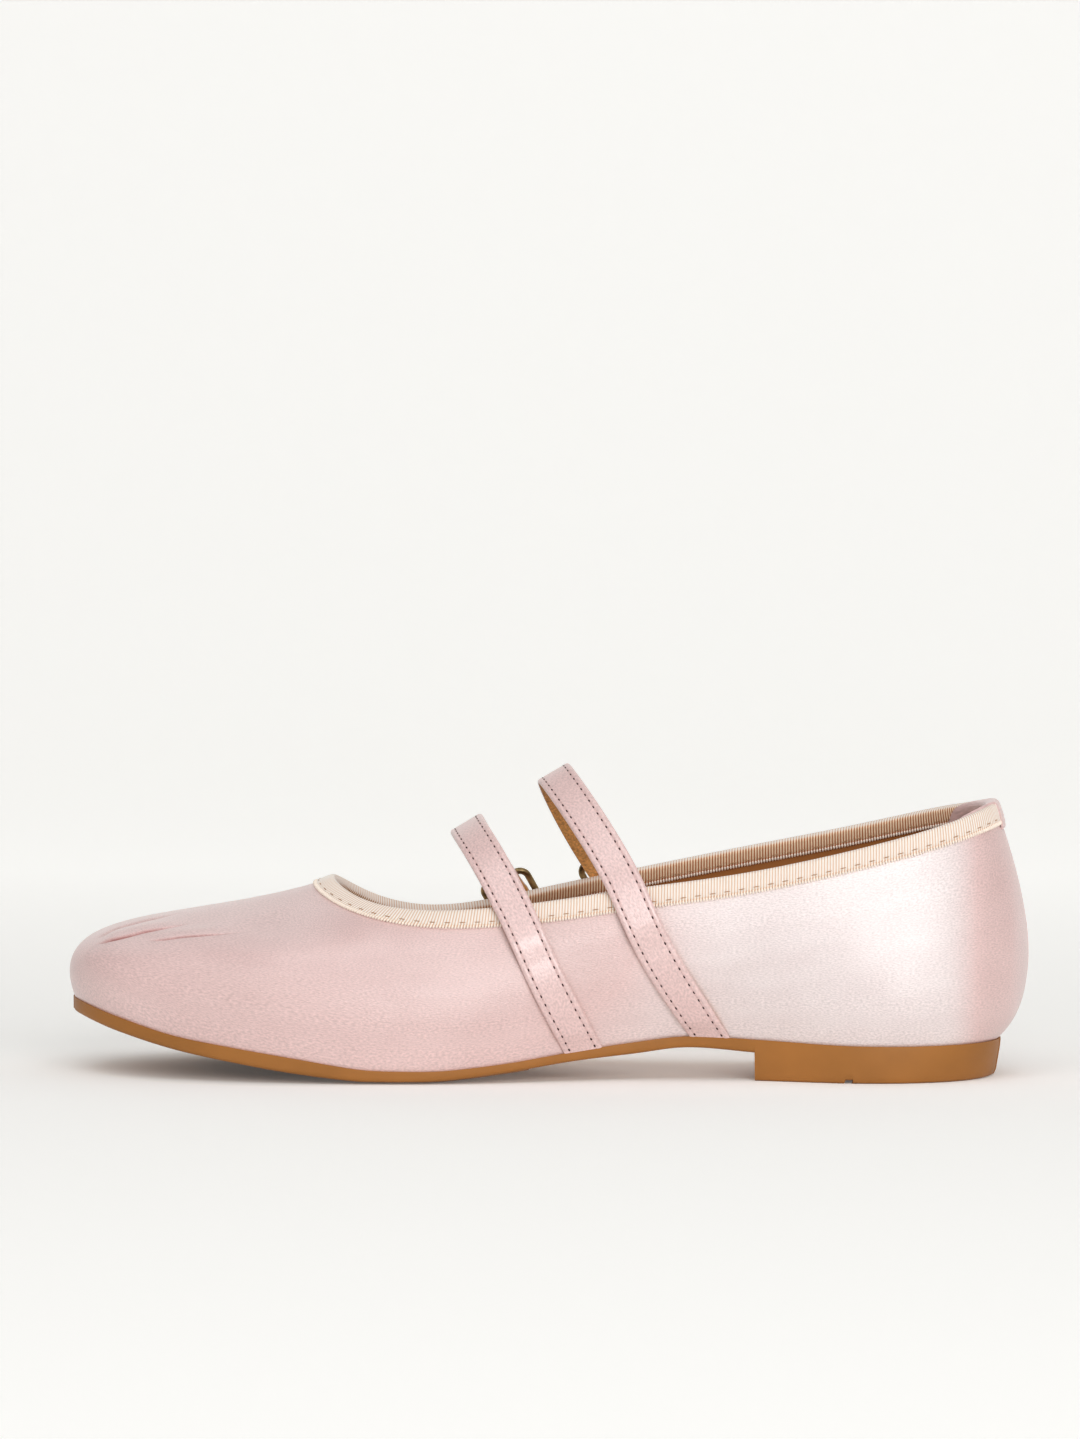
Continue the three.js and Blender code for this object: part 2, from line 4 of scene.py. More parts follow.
import bpy
import numpy as np
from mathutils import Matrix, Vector


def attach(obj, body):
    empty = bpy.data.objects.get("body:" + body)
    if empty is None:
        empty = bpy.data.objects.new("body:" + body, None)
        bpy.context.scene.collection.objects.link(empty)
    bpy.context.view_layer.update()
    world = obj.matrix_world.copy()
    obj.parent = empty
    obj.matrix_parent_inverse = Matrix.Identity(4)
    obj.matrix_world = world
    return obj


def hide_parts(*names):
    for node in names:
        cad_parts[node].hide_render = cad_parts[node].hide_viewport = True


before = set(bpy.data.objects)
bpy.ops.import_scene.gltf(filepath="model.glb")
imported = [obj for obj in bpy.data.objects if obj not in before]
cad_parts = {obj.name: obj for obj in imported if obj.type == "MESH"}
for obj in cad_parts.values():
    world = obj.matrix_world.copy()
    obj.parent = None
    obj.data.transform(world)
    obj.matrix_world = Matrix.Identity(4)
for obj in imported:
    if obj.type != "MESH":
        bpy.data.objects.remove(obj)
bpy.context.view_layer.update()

bl_info = {
    "name": "Ballet flat",
    "version": (1, 0, 0),
    "blender": (4, 5, 0),
    "location": "View3D > Sidebar > Ballet flat",
    "description": "Dresses a right ballet flat with two buckled straps",
    "category": "Mesh",
}

# Sizes are in millimetres. s runs from the back of the heel to the toe, y to the inner side of the foot
# and z up from the floor, with the frame's origin at these values.
ORIGIN_S = 125.12
ORIGIN_Y = -0.57
GAP = 0.3
WALL = 1.6
SATIN_THICK = 0.75
LINING_THICK = 0.7
BINDING_THICK = 0.7
BINDING_OUTSIDE = 4.2
BINDING_INSIDE = 3.4
RIB_HEIGHT = 0.16
TAB_THICK = 0.6
RIM_FINISH = GAP + BINDING_THICK
SOLE_LIP = 0.5
SOLE_ROUND = 1.1
INSOLE_INSET = 2.3
INSOLE_TOP = 2.2
INSOLE_THICK = 2
STRAP_WIDTH = 9.4
STRAP_THICK = 1.4
STRAP_SLACK = 0.3
STRAP_TAIL = 21
STRAP_OVER_RIM = 2 * GAP + BINDING_THICK + STRAP_SLACK
TAIL_ROUND, TAIL_SECTIONS = 4.6, 30
PIVOT_LIFT = 2.3
BUCKLE_ROD = 0.9
BUCKLE_BELOW_RIM = 7.5
BUCKLE_ABOVE_RIM = 4
BUCKLE_WIDTH = 12.6
BUCKLE_CORNER = 2.4
PRONG_ROD = 0.6
PAD_START, PAD_END, PAD_PROUD, PAD_INSET = 128, 197.6, 0.6, 1.2
HEEL_BREAST, HEEL_RAKE = 70.4, 1.2
HEEL_GROOVE_S, HEEL_GROOVE_WIDTH, HEEL_GROOVE_DEPTH = 45.6, 2, 0.8
FOLD_REACH, WAVE_HEIGHT = 40, 0.05
# The stitch groove of a strap: its place and half width in shares of the strap's half width, and its height.
GROOVE_AT, GROOVE_HALF, GROOVE_HEIGHT = 0.665, 0.045, 1.17
# Loops, stitches and needle holes: length, width and height of each.
PICOT_SIZE = (1.15, 0.58, 0.85)
RIBBON_STITCH_SIZE = (1.7, 0.24, 0.3)
STRAP_STITCH_SIZE = (1.6, 0.32, 0.28)
NEEDLE_HOLE_SIZE = (0.95, 0.6, 0.36)
# Columns of the satin's grid round the shoe, more of them beside the folds, and its rows up the side.
UPPER_RIBS, FOLD_RIBS, UPPER_ROWS = 560, 170, 62

# Side view of the sole: s, top face, lower edge.
SOLE_ROWS = np.array([
    (6, 9.6, 5.0), (45, 9.6, 5.8), (70.4, 10.6, 7.2), (88, 11.2, 8.3), (101, 9.8, 6.8),
    (117, 7.6, 5.1), (133, 5.1, 2.7), (148, 3.5, 0.9), (154, 3.3, 0.6), (166, 3.5, 0.6),
    (172, 4.0, 0.8), (187, 6.4, 2.5), (203, 8.9, 5.0), (219, 11.6, 8.0), (234.5, 15.8, 12.0),
    (245, 18.6, 15.0), (250, 19.2, 15.8),
])

# Ribs of the last: feather line fs, fy, its handle up, out and plan angle fa, then the topline ts, ty, tz
# and its handle drop, run and plan angle ta.
RIB_ROWS = np.array([
    (8, 0, 11, 11.4, 180, 9.2, 0, 70.6, 25.5, 9.5, 180),
    (13.2, 15.2, 12, 10.5, 143, 13.8, 12.6, 68.7, 25, 8.4, 140),
    (27, 24.8, 14, 9, 105, 26, 21, 64.6, 23, 6.6, 105),
    (48, 26.6, 15, 8.4, 92, 47, 25.6, 59.1, 22, 5.6, 92),
    (75, 20.8, 15, 9, 90, 74, 27.2, 53.5, 19, 3.6, 90),
    (103, 22.6, 15, 7.8, 90, 100, 28.2, 49.8, 17, 3.8, 90),
    (130, 31.2, 16, 5.4, 90, 124, 28.8, 46.2, 16, 6, 88),
    (155, 36.8, 18, 5, 90, 144, 28, 44.1, 15, 10, 78),
    (180, 37.3, 19, 5, 88, 158, 25.6, 43.9, 12, 14, 60),
    (203, 34.8, 19.5, 5.5, 80, 168, 21.3, 45.2, 10.5, 20, 42),
    (223, 29.4, 20.5, 6.6, 62, 175, 15.2, 47.4, 11, 27, 26),
    (240, 19.2, 22.6, 8.2, 38, 179.7, 8, 50, 12.4, 33, 12),
    (248.3, 0, 25, 9, 0, 181, 0, 51, 12.2, 35, 0),
    (240, -20.4, 22.6, 8.2, -38, 179.5, -8, 49.6, 12.4, 33, -12),
    (223, -31, 20.5, 6.6, -62, 174.7, -15.2, 46.2, 11, 27, -26),
    (203, -36, 19.5, 5.5, -80, 167.4, -21.3, 42.9, 10.5, 20, -42),
    (180, -38.6, 19, 5, -88, 157.4, -25.8, 41.2, 12, 14, -60),
    (155, -38.2, 18, 5, -90, 143.6, -28.2, 42.4, 14, 10.4, -78),
    (130, -34.2, 16, 4.6, -90, 124, -29, 46.5, 15, 6.4, -88),
    (103, -29.8, 15, 4.6, -90, 100, -28.2, 51.6, 16, 4, -90),
    (75, -27.8, 15, 5.6, -90, 74, -27.2, 57, 19, 4, -90),
    (48, -27, 15, 8, -92, 47, -25.6, 62.5, 22, 5.6, -92),
    (27, -24.8, 14, 9, -105, 26, -21, 67.4, 23, 6.6, -105),
    (13.2, -15.2, 12, 10.5, -143, 13.8, -12.6, 69.9, 25, 8.4, -140),
])

# Straps: sole and topline on the inner side, bow back between them, highest point, then topline and sole
# on the outer side; reach is how far the bow runs straight on from its ends, as a share.
STRAPS = {
    "front": dict(sole_in=114.2, rim_in=131.6, bow_back=1.2, top_s=146, top_z=64, rim_out=136.6,
                  sole_out=116),
    "rear": dict(sole_in=82, rim_in=102.4, bow_back=0, top_s=123.2, top_z=77.2, rim_out=111, sole_out=89,
                 reach=0.27),
}

# Folds of the satin at the toe: points (s, y, z) along the fold, the depth and half width of its trough,
# the height and reach of the puffed satin above it and below it, and how dark and wide the painted shade in
# its crease is.
FOLDS = [
    (((241.4, 13.2, 33.2), (238, 15.4, 34.1), (235.2, 16.6, 34.7), (231.6, 17.3, 35.6), (227.9, 17.3, 36.6),
      (223.6, 17.4, 37.5), (219.7, 17.2, 38.3), (215, 16.9, 39.2)),
     1.0, 0.34, (0.7, 3.2), (0.25, 2.2), (1.0, 0.42)),
    (((227, 21.3, 34.8), (221.8, 22.4, 35.4), (217.2, 22.8, 36.1), (212.7, 23.4, 36.5), (207.4, 24.0, 37.0),
      (200.5, 24.8, 37.6)),
     0.6, 0.32, (0.4, 2.6), (0.2, 2.0), (0.62, 0.32)),
    (((241, 11.4, 34.2), (239.2, 10.8, 35.4), (234.7, 9.9, 37.3), (230.8, 9.7, 38.4), (226.3, 9.0, 39.5),
      (222.7, 8.2, 40.3), (216, 6.8, 41.6)),
     0.35, 0.9, (0.2, 3.5), (0.2, 3.5), (0.32, 0.8)),
]
# How far the ribs of the satin lean near the folds: rib at the middle height, change of rib up the shoe.
RIB_LEAN = np.array([
    (0.0, 0), (0.32, 0), (0.40, -0.09), (0.449, -0.135), (0.465, -0.054), (0.5, 0), (1, 0),
])
# Where shade is painted on the satin: s, z, reach along s and up, and how much.
PAINTED_SHADES = [(114, 36, 17, 16, 1.1), (152, 26, 22, 14, 0.5), (205, 22, 20, 10, 0.35)]


def to_frame(places):
    """Shoe millimetres to the frame's metres."""
    return (np.asarray(places, float) - (ORIGIN_S, ORIGIN_Y, 0)) / 1000


def mix(a, b, t):
    return a + (b - a) * t


def smooth(start, end, x):
    t = np.clip((np.asarray(x, float) - start) / (end - start), 0, 1)
    return t * t * (3 - 2 * t)


def unit(v):
    v = np.asarray(v, float)
    return v / np.linalg.norm(v, axis=-1, keepdims=True)


def open_curve(x, y):
    """A smooth curve through the points of a table."""
    n = len(x)
    before, after = np.maximum(np.arange(n) - 1, 0), np.minimum(np.arange(n) + 1, n - 1)
    slope = (y[after] - y[before]) / (x[after] - x[before])

    def at(t):
        t = np.clip(t, x[0], x[-1])
        i = np.clip(np.searchsorted(x, t, side="left") - 1, 0, n - 2)
        h = x[i + 1] - x[i]
        f = (t - x[i]) / h
        start = (1 + 2 * f) * (1 - f) ** 2 * y[i] + f * (1 - f) ** 2 * h * slope[i]
        return start + f * f * (3 - 2 * f) * y[i + 1] + f * f * (f - 1) * h * slope[i + 1]

    return at


sole_top = open_curve(SOLE_ROWS[:, 0], SOLE_ROWS[:, 1])
sole_bottom = open_curve(SOLE_ROWS[:, 0], SOLE_ROWS[:, 2])


def rib_corners():
    """Spline knots of the four corners of the ribs, round the shoe."""
    fs, fy, up, out, fa, ts, ty, tz, drop, run, ta = RIB_ROWS.T
    fa, ta = np.radians(fa), np.radians(ta)
    foot = np.stack([fs, fy, sole_top(fs) + GAP], 1)
    top = np.stack([ts, ty, tz - RIM_FINISH], 1)
    low = foot + np.stack([out * np.cos(fa), out * np.sin(fa), up], 1)
    high = top + np.stack([run * np.cos(ta), run * np.sin(ta), -drop], 1)
    knots = []
    for values in (foot, low, high, top):
        k = values.copy()
        for _ in range(60):
            k = (6 * values - np.roll(k, 1, 0) - np.roll(k, -1, 0)) / 4
        knots.append(k)
    return knots


CORNERS = rib_corners()


def corner_at(i, u):
    knots = CORNERS[i]
    n = len(knots)
    u = np.asarray(u, float)
    x = (u - np.floor(u)) * n
    k = np.floor(x).astype(int)
    f = (x - k)[..., None]
    low = (1 - f) ** 3 * knots[(k - 1) % n] + (3 * f ** 3 - 6 * f ** 2 + 4) * knots[k % n]
    high = (-3 * f ** 3 + 3 * f ** 2 + 3 * f + 1) * knots[(k + 1) % n] + f ** 3 * knots[(k + 2) % n]
    return (low + high) / 6


def skin(u, v):
    """The outer face of the upper: u round the shoe, v from the feather line to the topline."""
    u, v = np.broadcast_arrays(np.asarray(u, float), np.asarray(v, float))
    w = v[..., None]
    corners = [corner_at(i, u) for i in range(4)]
    place = ((1 - w) ** 3 * corners[0] + 3 * w * (1 - w) ** 2 * corners[1]
             + 3 * w * w * (1 - w) * corners[2] + w ** 3 * corners[3])
    place[..., 2] += (1 - v) ** 6 * (sole_top(place[..., 0]) + GAP - corners[0][..., 2])
    return place


def skin_slopes(u, v):
    d = 1e-4
    return (skin(u + d, v) - skin(u - d, v)) / (2 * d), (skin(u, v + d) - skin(u, v - d)) / (2 * d)


def skin_normal(u, v):
    along_u, along_v = skin_slopes(u, v)
    return unit(np.cross(along_v, along_u))


def off_skin(u, v, lift):
    u, v, lift = np.broadcast_arrays(np.asarray(u, float), np.asarray(v, float), np.asarray(lift, float))
    return skin(u, v) + skin_normal(u, v) * lift[..., None]


def rim_heights(u, distances):
    """For each rib the v that lies each distance below the topline."""
    v = np.linspace(1, 0, 201)
    line = skin(np.asarray(u)[:, None], v[None, :])
    gone = np.concatenate([np.zeros((len(u), 1)),
                           np.cumsum(np.linalg.norm(np.diff(line, axis=1), axis=2), axis=1)], 1)
    return np.array([np.interp(distances, row, v) for row in gone])


def rib_at(corner, s, outer):
    """The rib on one side of the shoe whose corner passes s."""
    back, ahead = (1.0, 0.5) if outer else (0.0, 0.5)
    for _ in range(50):
        middle = (back + ahead) / 2
        if corner_at(corner, middle)[0] < s:
            back = middle
        else:
            ahead = middle
    return (back + ahead) / 2


INNER_FEATHER = corner_at(0, np.linspace(0, 0.5, 800))
OUTER_FEATHER = corner_at(0, np.linspace(1, 0.5, 800))
HEEL_END = float(corner_at(0, 0.0)[0])
TOE_END = float(corner_at(0, 0.5)[0])


def inner_edge(s):
    return float(np.interp(s, INNER_FEATHER[:, 0], INNER_FEATHER[:, 1]))


def outer_edge(s):
    return float(np.interp(s, OUTER_FEATHER[:, 0], OUTER_FEATHER[:, 1]))


def clear_selection():
    if bpy.context.mode != "OBJECT":
        bpy.ops.object.mode_set(mode="OBJECT")
    bpy.ops.object.select_all(action="DESELECT")


def pick(piece):
    clear_selection()
    piece.select_set(True)
    bpy.context.view_layer.objects.active = piece


def edit(piece, *steps):
    """Runs mesh operators on the whole of one piece."""
    pick(piece)
    bpy.ops.object.mode_set(mode="EDIT")
    bpy.ops.mesh.select_all(action="SELECT")
    for step in steps:
        step()
    bpy.ops.object.mode_set(mode="OBJECT")


def weld():
    bpy.ops.mesh.remove_doubles(threshold=1e-6)


def volume(piece):
    mesh = piece.data
    mesh.calc_loop_triangles()
    co = np.empty(len(mesh.vertices) * 3)
    mesh.vertices.foreach_get("co", co)
    tri = np.empty(len(mesh.loop_triangles) * 3, int)
    mesh.loop_triangles.foreach_get("vertices", tri)
    a, b, c = (co.reshape(-1, 3)[tri.reshape(-1, 3)[:, k]] for k in range(3))
    return float(np.einsum("ij,ij->i", a, np.cross(b, c)).sum() / 6)


def laid_grid(name, places, chart=None, marks=None):
    """A grid primitive whose points are laid on the places, with a chart in millimetres as its UV map."""
    rows, cols = places.shape[:2]
    clear_selection()
    bpy.ops.mesh.primitive_grid_add(x_subdivisions=cols - 1, y_subdivisions=rows - 1, size=1)
    piece = bpy.context.object
    piece.name = piece.data.name = name
    mesh = piece.data
    if len(mesh.vertices) != rows * cols:
        raise RuntimeError(f"{name}: the grid has {len(mesh.vertices)} points, not {rows * cols}")
    mesh.vertices.foreach_set("co", to_frame(places).ravel())
    if chart is not None:
        corner = np.empty(len(mesh.loops), int)
        mesh.loops.foreach_get("vertex_index", corner)
        mesh.uv_layers[0].data.foreach_set("uv", chart.reshape(-1, 2)[corner].ravel())
    for key, values in (marks or {}).items():
        mesh.attributes.new(key, "FLOAT", "POINT").data.foreach_set("value", np.ravel(values))
    mesh.update()
    return piece


def closed(piece):
    """Welds a grid that meets itself and turns its faces outwards."""
    edit(piece, weld, lambda: bpy.ops.mesh.dissolve_degenerate(threshold=1e-7))
    if volume(piece) < 0:
        edit(piece, bpy.ops.mesh.flip_normals)
    return piece


def thicken(piece, thickness):
    """Gives a sheet its thickness behind its face."""
    pick(piece)
    bpy.ops.object.modifier_add(type="SOLIDIFY")
    wall = piece.modifiers[-1]
    wall.thickness = thickness / 1000
    wall.offset = -1
    bpy.ops.object.modifier_apply(modifier=wall.name)


def soften(piece, angle):
    pick(piece)
    bpy.ops.object.shade_smooth_by_angle(angle=math.radians(angle))


def finish_piece(piece, material, slot, *nodes, angle=40):
    soften(piece, angle)
    piece.data.materials.clear()
    piece.data.materials.append(material)
    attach(piece, "root")
    if nodes:
        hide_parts(*nodes)
    return piece


def copies(name, pattern, frames):
    """One piece made of copies of a small pattern mesh, each on its own frame (place, x, y and z way)."""
    co = np.empty(len(pattern.data.vertices) * 3)
    pattern.data.vertices.foreach_get("co", co)
    co = co.reshape(-1, 3)
    faces = [tuple(p.vertices) for p in pattern.data.polygons]
    places, joined = [], []
    for i, (place, ways) in enumerate(frames):
        places.append(to_frame(place + co @ np.asarray(ways)))
        joined += [tuple(k + i * len(co) for k in face) for face in faces]
    bpy.data.objects.remove(pattern)
    mesh = bpy.data.meshes.new(name)
    mesh.from_pydata(np.concatenate(places).tolist(), [], joined)
    piece = bpy.data.objects.new(name, mesh)
    bpy.context.collection.objects.link(piece)
    if volume(piece) < 0:
        edit(piece, bpy.ops.mesh.flip_normals)
    return piece


def bead(length, width, height):
    """A small rounded dash, lying along x with its face towards z, in millimetres."""
    clear_selection()
    bpy.ops.mesh.primitive_uv_sphere_add(segments=6, ring_count=5, radius=0.5)
    pattern = bpy.context.object
    edit(pattern, lambda: bpy.ops.transform.rotate(value=math.pi / 2, orient_axis="Y",
                                                   center_override=(0, 0, 0)),
         lambda: bpy.ops.transform.resize(value=(length, width, height), center_override=(0, 0, 0)))
    return pattern


def new_material(name):
    material = bpy.data.materials.new(name)
    material.use_nodes = True
    tree = material.node_tree
    tree.nodes.clear()
    output = tree.nodes.new("ShaderNodeOutputMaterial")
    shader = tree.nodes.new("ShaderNodeBsdfPrincipled")
    tree.links.new(shader.outputs["BSDF"], output.inputs["Surface"])
    return tree, shader


def feed(node, inputs):
    """Links sockets to a node's inputs by name and sets plain values on the others."""
    for key, value in inputs.items():
        if isinstance(value, bpy.types.NodeSocket):
            node.id_data.links.new(value, node.inputs[key])
        else:
            node.inputs[key].default_value = value


def add_node(tree, kind, inputs=None, **settings):
    made = tree.nodes.new("ShaderNode" + kind)
    for key, value in settings.items():
        setattr(made, key, value)
    feed(made, inputs or {})
    return made


def stretched(tree, source, scale):
    place = add_node(tree, "TexCoord").outputs[source]
    return add_node(tree, "Mapping", {"Vector": place, "Scale": scale}).outputs["Vector"]


def chart_vector(tree, along, across):
    """The piece's own chart in millimetres, stretched for a pattern that follows the cloth."""
    return stretched(tree, "UV", (along, across, 1))


def place_vector(tree):
    """The place in the frame, in millimetres."""
    return stretched(tree, "Object", (1000, 1000, 1000))


def noise(tree, vector, scale=1.0, detail=2.0):
    return add_node(tree, "TexNoise", {"Vector": vector, "Scale": scale, "Detail": detail}).outputs["Fac"]


def attribute(tree, name):
    return add_node(tree, "Attribute", attribute_name=name).outputs["Fac"]


def ramp(tree, factor, low, high, start=0.0, end=1.0):
    """A colour ramp between two colours over part of a factor."""
    made = add_node(tree, "ValToRGB", {"Fac": factor})
    for stop, position, color in zip(made.color_ramp.elements, (start, end), (low, high)):
        stop.position = position
        stop.color = (*color, 1)
    return made.outputs["Color"]


def span(tree, value, low, high, start=0.0, end=1.0):
    """Stretches a value from one range over another."""
    return add_node(tree, "MapRange", {"Value": value, "From Min": start, "From Max": end,
                                       "To Min": low, "To Max": high}).outputs["Result"]


def bump(tree, height, strength, distance):
    return add_node(tree, "Bump", {"Height": height, "Strength": strength,
                                   "Distance": distance / 1000}).outputs["Normal"]


def blend(tree, factor, below, above, way="MIX"):
    """One colour laid over another."""
    return add_node(tree, "Mix", {"Factor": factor, "A": below, "B": above},
                    data_type="RGBA", blend_type=way).outputs["Result"]


def tint(color, factor):
    return tuple(min(1.0, c * factor) for c in color)


def mottled(tree, pattern, color, low, high, start=0.3, end=0.7):
    """A colour that a pattern makes darker and lighter."""
    return ramp(tree, pattern, tint(color, low), tint(color, high), start, end)


def satin_material(color, groove):
    """Close satin: fine flecks along the weave, a sparkling grain, slow clouds of colour, painted highlights
    and painted shade from a mark, painted shade in the stitch grooves and the fold creases, and a gloss.
    """
    tree, shader = new_material("pink_satin")
    fleck = noise(tree, chart_vector(tree, 1.3, 1.75))
    grain = noise(tree, chart_vector(tree, 1.2, 0.8), detail=4.0)
    cloud = noise(tree, chart_vector(tree, 0.05, 0.05), detail=3.0)
    slow = ramp(tree, cloud, (0.95, 0.93, 0.93), (1.0, 1.0, 1.0), 0.35, 0.65)
    colour = blend(tree, 1.0, mottled(tree, fleck, color, 0.85, 1.13, 0.33, 0.67), slow, "MULTIPLY")
    # A mark that multiplies a painted highlight into the colour where it is above zero and painted shade
    # where it is below.
    painted_light = attribute(tree, "painted_light")
    for end, shade in ((1, (1.07, 1.32, 1.355, 1)), (-1, (0.84, 0.82, 0.81, 1))):
        colour = blend(tree, span(tree, painted_light, 0, 1, end=end), colour, shade, "MULTIPLY")
    # Painted shade in the stitch grooves of the straps.
    colour = blend(tree, attribute(tree, "groove"), colour, (*groove, 1))
    # Painted shade in the creases of the folds, darker than in the grooves.
    crease = (groove[0] * 0.6, groove[1] * 0.18, groove[2] * 0.15, 1)
    colour = blend(tree, attribute(tree, "fold"), colour, crease)
    weave = add_node(tree, "Math", {0: grain, 1: fleck}, operation="ADD").outputs["Value"]
    feed(shader, {
        "Base Color": colour, "Roughness": span(tree, fleck, 0.24, 0.42),
        "Normal": bump(tree, weave, 0.85, 0.11), "Specular IOR Level": 1.0, "Anisotropic": 0.3,
        "Coat Weight": 0.4, "Coat Roughness": 0.3,
        "Sheen Weight": 0.12, "Sheen Roughness": 0.45, "Sheen Tint": (1.0, 0.8, 0.78, 1)})


def ribbon_material(color, shade, inner_color, inner_shade):
    """Ribbed ribbon: pale ridges, warmer valleys in painted shade and fine yarn, and a warmer painted shade
    again on its face inside the shoe.
    """
    tree, shader = new_material("cream_ribbon")
    rib = attribute(tree, "rib")
    # Painted shade in the valleys between the ridges on the outer face.
    outside = ramp(tree, rib, shade, color, 0.08, 0.55)
    # A warmer painted shade for the face inside the shoe, ridges and valleys.
    inside = ramp(tree, rib, inner_shade, inner_color, 0.2, 0.85)
    yarn = noise(tree, chart_vector(tree, 2.0, 9.0))
    feed(shader, {"Base Color": blend(tree, attribute(tree, "inside"), outside, inside), "Roughness": 0.68,
                  "Normal": bump(tree, yarn, 0.4, 0.08), "Sheen Weight": 0.15})


def leather_material(color):
    """Smooth leather with a fine pebble and slow changes of colour."""
    tree, shader = new_material("lining_leather")
    place = place_vector(tree)
    cells = add_node(tree, "TexVoronoi", {"Vector": place, "Scale": 1.1}, feature="SMOOTH_F1")
    cloud = noise(tree, place, 0.09, 4.0)
    feed(shader, {"Base Color": mottled(tree, cloud, color, 0.82, 1.12),
                  "Roughness": span(tree, cloud, 0.47, 0.63),
                  "Normal": bump(tree, cells.outputs["Distance"], 0.35, 0.12)})


def suede_material(color):
    """Brushed backing of the straps: short fibres and a mottled nap."""
    tree, shader = new_material("strap_suede")
    nap = noise(tree, place_vector(tree), 1.6, 5.0)
    feed(shader, {"Base Color": mottled(tree, nap, color, 0.62, 1.35), "Roughness": 0.85,
                  "Normal": bump(tree, nap, 0.5, 0.2), "Sheen Weight": 0.3})


def rubber_material(color):
    """Moulded rubber: a faint cloud of colour, fine mould grain and a dull gloss."""
    tree, shader = new_material("caramel_rubber")
    place = place_vector(tree)
    cloud = noise(tree, place, 0.05, 4.0)
    grain = noise(tree, place, 2.2)
    feed(shader, {"Base Color": mottled(tree, cloud, color, 0.88, 1.1),
                  "Roughness": span(tree, grain, 0.4, 0.6), "Normal": bump(tree, grain, 0.15, 0.06),
                  "Specular IOR Level": 0.25})


def brass_material(color):
    """Antique brass: bright wear over a brown patina."""
    tree, shader = new_material("antique_brass")
    patina = noise(tree, place_vector(tree), 0.5, 4.0)
    feed(shader, {"Base Color": mottled(tree, patina, color, 0.55, 1.5, 0.35, 0.65),
                  "Roughness": span(tree, patina, 0.45, 0.25), "Metallic": 1.0})


def thread_material(name, color, rough=0.6, low=0.75, high=1.15):
    """Twisted thread: narrow bands of light and shade along the stitch."""
    tree, shader = new_material(name)
    twist = noise(tree, place_vector(tree), 3.0)
    feed(shader, {"Base Color": mottled(tree, twist, color, low, high, 0.35, 0.65), "Roughness": rough})


def finishes(props):
    """The materials of the shoe by name, made once from the colours in the sidebar."""
    if "pink_satin" not in bpy.data.materials:
        satin_material(props.satin, props.groove)
        ribbon_material(props.ribbon, props.ribbon_shade, props.inner_ribbon, props.inner_ribbon_shade)
        leather_material(props.leather)
        suede_material(props.suede)
        rubber_material(props.rubber)
        brass_material(props.brass)
        thread_material("rose_thread", tint(props.satin, 0.9))
        thread_material("tan_thread", props.tan_thread)
        thread_material("picot_thread", props.picot, 0.7, 0.9, 1.0)
        thread_material("needle_hole_shade", props.needle_hole_shade, 0.8)
    return bpy.data.materials


def curve_length(line):
    """Distances along a line of places, from its start."""
    return np.append(0, np.cumsum(np.linalg.norm(np.diff(line, axis=0), axis=1)))


def relief(u, v, places, normals, depth):
    """Folds and slow waves of the satin, as heights on the skin in millimetres, and how much painted shade
    lies in each fold's crease.
    """
    height = np.zeros(places.shape[:2])
    crease_shade = np.zeros(places.shape[:2])
    for points, deep, half, above, below, (dark, width) in FOLDS:
        knots = np.array(points, float)
        at = np.linspace(0, len(knots) - 1, 160)
        path = np.stack([open_curve(np.arange(float(len(knots))), knots[:, k])(at) for k in range(3)], 1)
        near = np.linalg.norm(places - path.mean(0), axis=-1) < FOLD_REACH
        gap = places[near][:, None, :] - path[None]
        best = np.linalg.norm(gap, axis=2).argmin(1)
        gap = gap[np.arange(len(best)), best]
        way = unit(np.gradient(path, axis=0))[best]
        side = np.cross(normals[near], way)
        across = np.einsum("ij,ij->i", gap, side)
        across = np.where(side[:, 2] < 0, -across, across)
        past = np.abs(np.einsum("ij,ij->i", gap, way))
        share = best / (len(path) - 1)
        fade = smooth(0, 0.25, share) * smooth(1, 0.55, share) * np.exp(-(past / 3) ** 2)
        trough = -deep * np.exp(-(across / half) ** 2)
        swell = np.where(across > 0, above[0] * np.exp(-((across - above[1] * 0.8) / above[1]) ** 2),
                         below[0] * np.exp(-((across + below[1] * 0.8) / below[1]) ** 2))
        height[near] += fade * (trough + swell * smooth(0, half, np.abs(across))) * depth
        # Painted shade along the crease of each fold.
        crease_shade[near] = np.maximum(crease_shade[near], dark * fade * np.exp(-(across / width) ** 2))
    wave = np.sin(u * 71 + 5 * v) * np.sin(v * 9 + 13 * u) + 0.6 * np.sin(u * 143 - 8 * v + 1.3)
    return height + WAVE_HEIGHT * wave * smooth(0, 0.15, v) * smooth(1, 0.85, v), crease_shade


def upper_ribs(count, extra=0):
    """Ribs round the shoe, closer together at the toe and the heel and closest beside the folds."""
    t = np.arange(count) / count
    ribs = t - 0.036 * np.sin(4 * math.pi * t) / math.pi
    if extra:
        fine = np.linspace(0, 1, 4001)
        beside = smooth(0.42, 0.435, fine) * smooth(0.5, 0.48, fine) / 0.075
        weight = (1 / np.interp(fine, t, np.gradient(ribs)) + extra * beside) / count
        gone = np.append(0, np.cumsum((weight[1:] + weight[:-1]) / 2))
        count += extra
        ribs = np.interp(np.arange(count) / count, gone / gone[-1], fine)
    return np.append(ribs, 1.0)


